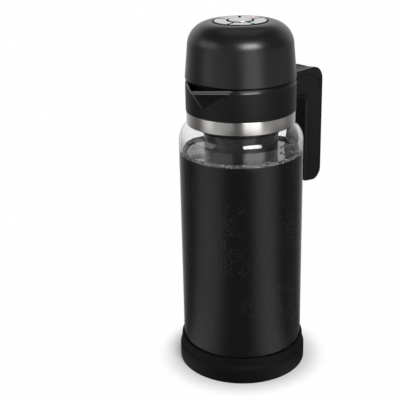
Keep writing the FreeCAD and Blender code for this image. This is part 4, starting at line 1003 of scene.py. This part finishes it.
nodeFinishes = (
    (gasketRubber, "base_cushion neck_gasket rim_gasket head_seal shaft_seal"),
    (partSteel, "handle_screws chassis_screws mount_screws board_screws motor_can motor_shaft drive_shaft"),
    (innerPlastic, "drive_chassis motor_mount charge_socket"),
    (bushBrass, "shaft_coupling shaft_bush"),
    (riserPlastic, "riser_tube riser_foot"),
    (basketPlastic, "basket_frame basket_base basket_lid"),
    (filterMesh, "basket_mesh"),
    (cellWrap, "battery_cells"),
    (impellerPlastic, "impeller"),
    (boardGreen, "control_board"),
    (keypadBlack, "key_switches"),
)
for material, nodes in nodeFinishes:
    for node in nodes.split():
        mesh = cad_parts[node].data
        mesh.materials.clear()
        mesh.materials.append(material)
print("finishes given to the nodes that stay")

# floor, backdrop, lamps and world

studio = dict(
    toCamera=(-0.7193, -0.6947), toRight=(0.6947, -0.7193),  # level directions
    floorSize=12.0, floorColor=(0.86, 0.86, 0.86, 1), white=0.995, shadowShare=0.1,
    shadowReach=(0.054, 0.079), farFloor=(0.66, 0.73), fill=0.32, insideFill=1.08,
    roomRise=(0.4, 0.68), roomBase=0.096,
)
# Soft windows of light that glossy surfaces see. Azimuths are in degrees from the camera's side,
# positive to its right. Each back is (from, to, strength) and each window is (middle, half width,
# soft edge, strength).
studioWindows = dict(
    nearStudio=dict(base=0.11, back=(105, 180, 0.5), windows=[(41, 0, 37, 0.64), (-62, 4, 40, 0.5)]),
    farStudio=dict(base=0.15, back=(100, 175, 0.6), windows=[
        (21, 12, 12, 1.85), (62, 22, 34, 0.3), (-48, 24, 12, 0.42), (-75, 6, 14, 0.55)]),
    roomStudio=dict(base=0.1, back=(92, 152, 0.752), windows=[
        (24, 4, 22, 0.416), (-62, 16, 30, 0.296)]),
)
lamps = dict(
    rightBox=dict(azimuth=19, rise=0.73, distance=0.9, size=(0.56, 0.32), power=8.8, aim=0.27),
    leftBox=dict(azimuth=-78, rise=0.6, distance=0.9, size=(0.8, 0.4), power=1.2, aim=0.24),
    topBox=dict(azimuth=170, rise=1.3, distance=0.25, size=(0.8, 0.8), power=0.8, aim=0.2),
)


# Strength by azimuth: base + for each window strength * smoothstep(half + edge, half, |away|) + a
# smooth rise towards the backdrop.
def makeStudioGroup(name, light):
    group, entry, leave = newGroup(name, {"Vector": (0, 0, 0)}, {"Strength": 0.0})
    x, y = axesOf(group, entry["Vector"])[:2]

    def along(direction):
        return calc(group, "+", calc(group, "*", x, direction[0]), calc(group, "*", y, direction[1]))

    azimuth = calc(group, "ARCTAN2", along(studio["toRight"]), along(studio["toCamera"]))
    start, stop, strength = light["back"]
    rise = smoothShare(group, calc(group, "ABSOLUTE", azimuth), np.radians((start, stop)), strength)
    total = calc(group, "+", rise, light["base"])
    for middle, half, edge, strength in light["windows"]:
        away = calc(group, "ABSOLUTE", calc(group, "-", azimuth, radians(middle)))
        near = calc(group, "-", radians(half + edge), away)
        glow = smoothShare(group, near, (0, radians(edge)), strength)
        total = calc(group, "+", total, glow)
    feed(group, leave, {"Strength": total})
    return group


studios = {name: makeStudioGroup(name, light) for name, light in studioWindows.items()}


def studioLight(tree, vector, name):
    return addNode(tree, "Group", {"Vector": vector}, node_tree=studios[name]).outputs["Strength"]


# Two switches: seen straight or only through glass, and seen after a glossy bounce.
def rayKinds(tree):
    path = addNode(tree, "LightPath").outputs
    bounced = calc(tree, "MAXIMUM", path["Glossy Depth"], path["Diffuse Depth"])
    through = calc(tree, "*", path["Is Transmission Ray"], calc(tree, "<", bounced, 0.5))
    straight = calc(tree, "MAXIMUM", path["Is Camera Ray"], through)
    mirrored = calc(tree, "*", calc(tree, ">", path["Glossy Depth"], 0.5),
                    calc(tree, "-", 1, path["Is Diffuse Ray"]))
    return straight, mirrored


def mixShaders(tree, share, first, second):
    return addNode(tree, "MixShader", {"Fac": share, 1: first, 2: second}).outputs[0]


# A matt pale floor. Straight rays see it near the object as part white light and part lit floor, so
# that its shadow stays, and as plain white further off.
def makeFloor():
    size = studio["floorSize"]
    mesh = bpy.data.meshes.new("floor")
    corners = [(-size, -size, 0), (size, -size, 0), (size, size, 0), (-size, size, 0)]
    mesh.from_pydata(corners, [], [(0, 1, 2, 3)])
    material = bpy.data.materials.new("paleFloor")
    tree = emptyTree(material)
    straight, mirrored = rayKinds(tree)
    place = objectPlace(tree)
    reach = addNode(tree, "VectorMath", {0: place}, operation="LENGTH").outputs["Value"]
    matt = addNode(tree, "BsdfDiffuse", {"Color": studio["floorColor"]}).outputs[0]
    white = addNode(tree, "Emission", {"Strength": studio["white"]}).outputs[0]
    whiter = mix(tree, smoothShare(tree, reach, studio["shadowReach"]), studio["shadowShare"], 1)
    glow = mix(tree, smoothShare(tree, reach, studio["farFloor"]),
               studioLight(tree, place, "nearStudio"), studioLight(tree, place, "farStudio"))
    shine = addNode(tree, "Emission", {"Strength": glow}).outputs[0]
    seen = mixShaders(tree, whiter, matt, white)
    final = mixShaders(tree, straight, mixShaders(tree, mirrored, matt, shine), seen)
    addNode(tree, "OutputMaterial", {"Surface": final})
    mesh.materials.append(material)
    floor = newObject("floor", mesh)


# White where it is seen straight or through glass, the studio for glossy rays, grey fill else.
def makeWorld():
    scene.world = bpy.data.worlds.new("studio")
    tree = emptyTree(scene.world)
    straight, mirrored = rayKinds(tree)
    direction = addNode(tree, "TexCoord").outputs["Generated"]
    high = smoothShare(tree, axesOf(tree, direction)["Z"], studio["roomRise"])
    walls = mix(tree, high, studioLight(tree, direction, "roomStudio"), studio["roomBase"])
    # what stands inside the glass gets the lamps' share from the room, as lamps don't shine through it
    inside = addNode(tree, "LightPath").outputs["Is Transmission Ray"]
    fill = mix(tree, inside, studio["fill"], studio["insideFill"])
    strength = mix(tree, straight, mix(tree, mirrored, fill, walls), studio["white"])
    light = addNode(tree, "Background", {"Color": (1, 1, 1, 1), "Strength": strength})
    addNode(tree, "OutputWorld", {"Surface": light.outputs[0]})


def makeLamp(name, lamp):
    data = bpy.data.lights.new(name, "AREA")
    data.shape = "RECTANGLE"
    data.size, data.size_y = lamp["size"]
    data.energy = lamp["power"]
    light = newObject(name, data)
    light.visible_camera = False
    angle = radians(lamp["azimuth"])
    level = Vector(studio["toCamera"]) * cos(angle) + Vector(studio["toRight"]) * sin(angle)
    light.location = (lamp["distance"] * level.x, lamp["distance"] * level.y, lamp["rise"])
    aim = Vector((0, 0, lamp["aim"])) - light.location
    light.rotation_mode = "QUATERNION"
    light.rotation_quaternion = aim.to_track_quat("-Z", "Y")


makeFloor()
makeWorld()
for name, lamp in lamps.items():
    makeLamp(name, lamp)
print("stage and", len(lamps), "lamps made")

bpy.context.scene.view_settings.view_transform = "Standard"
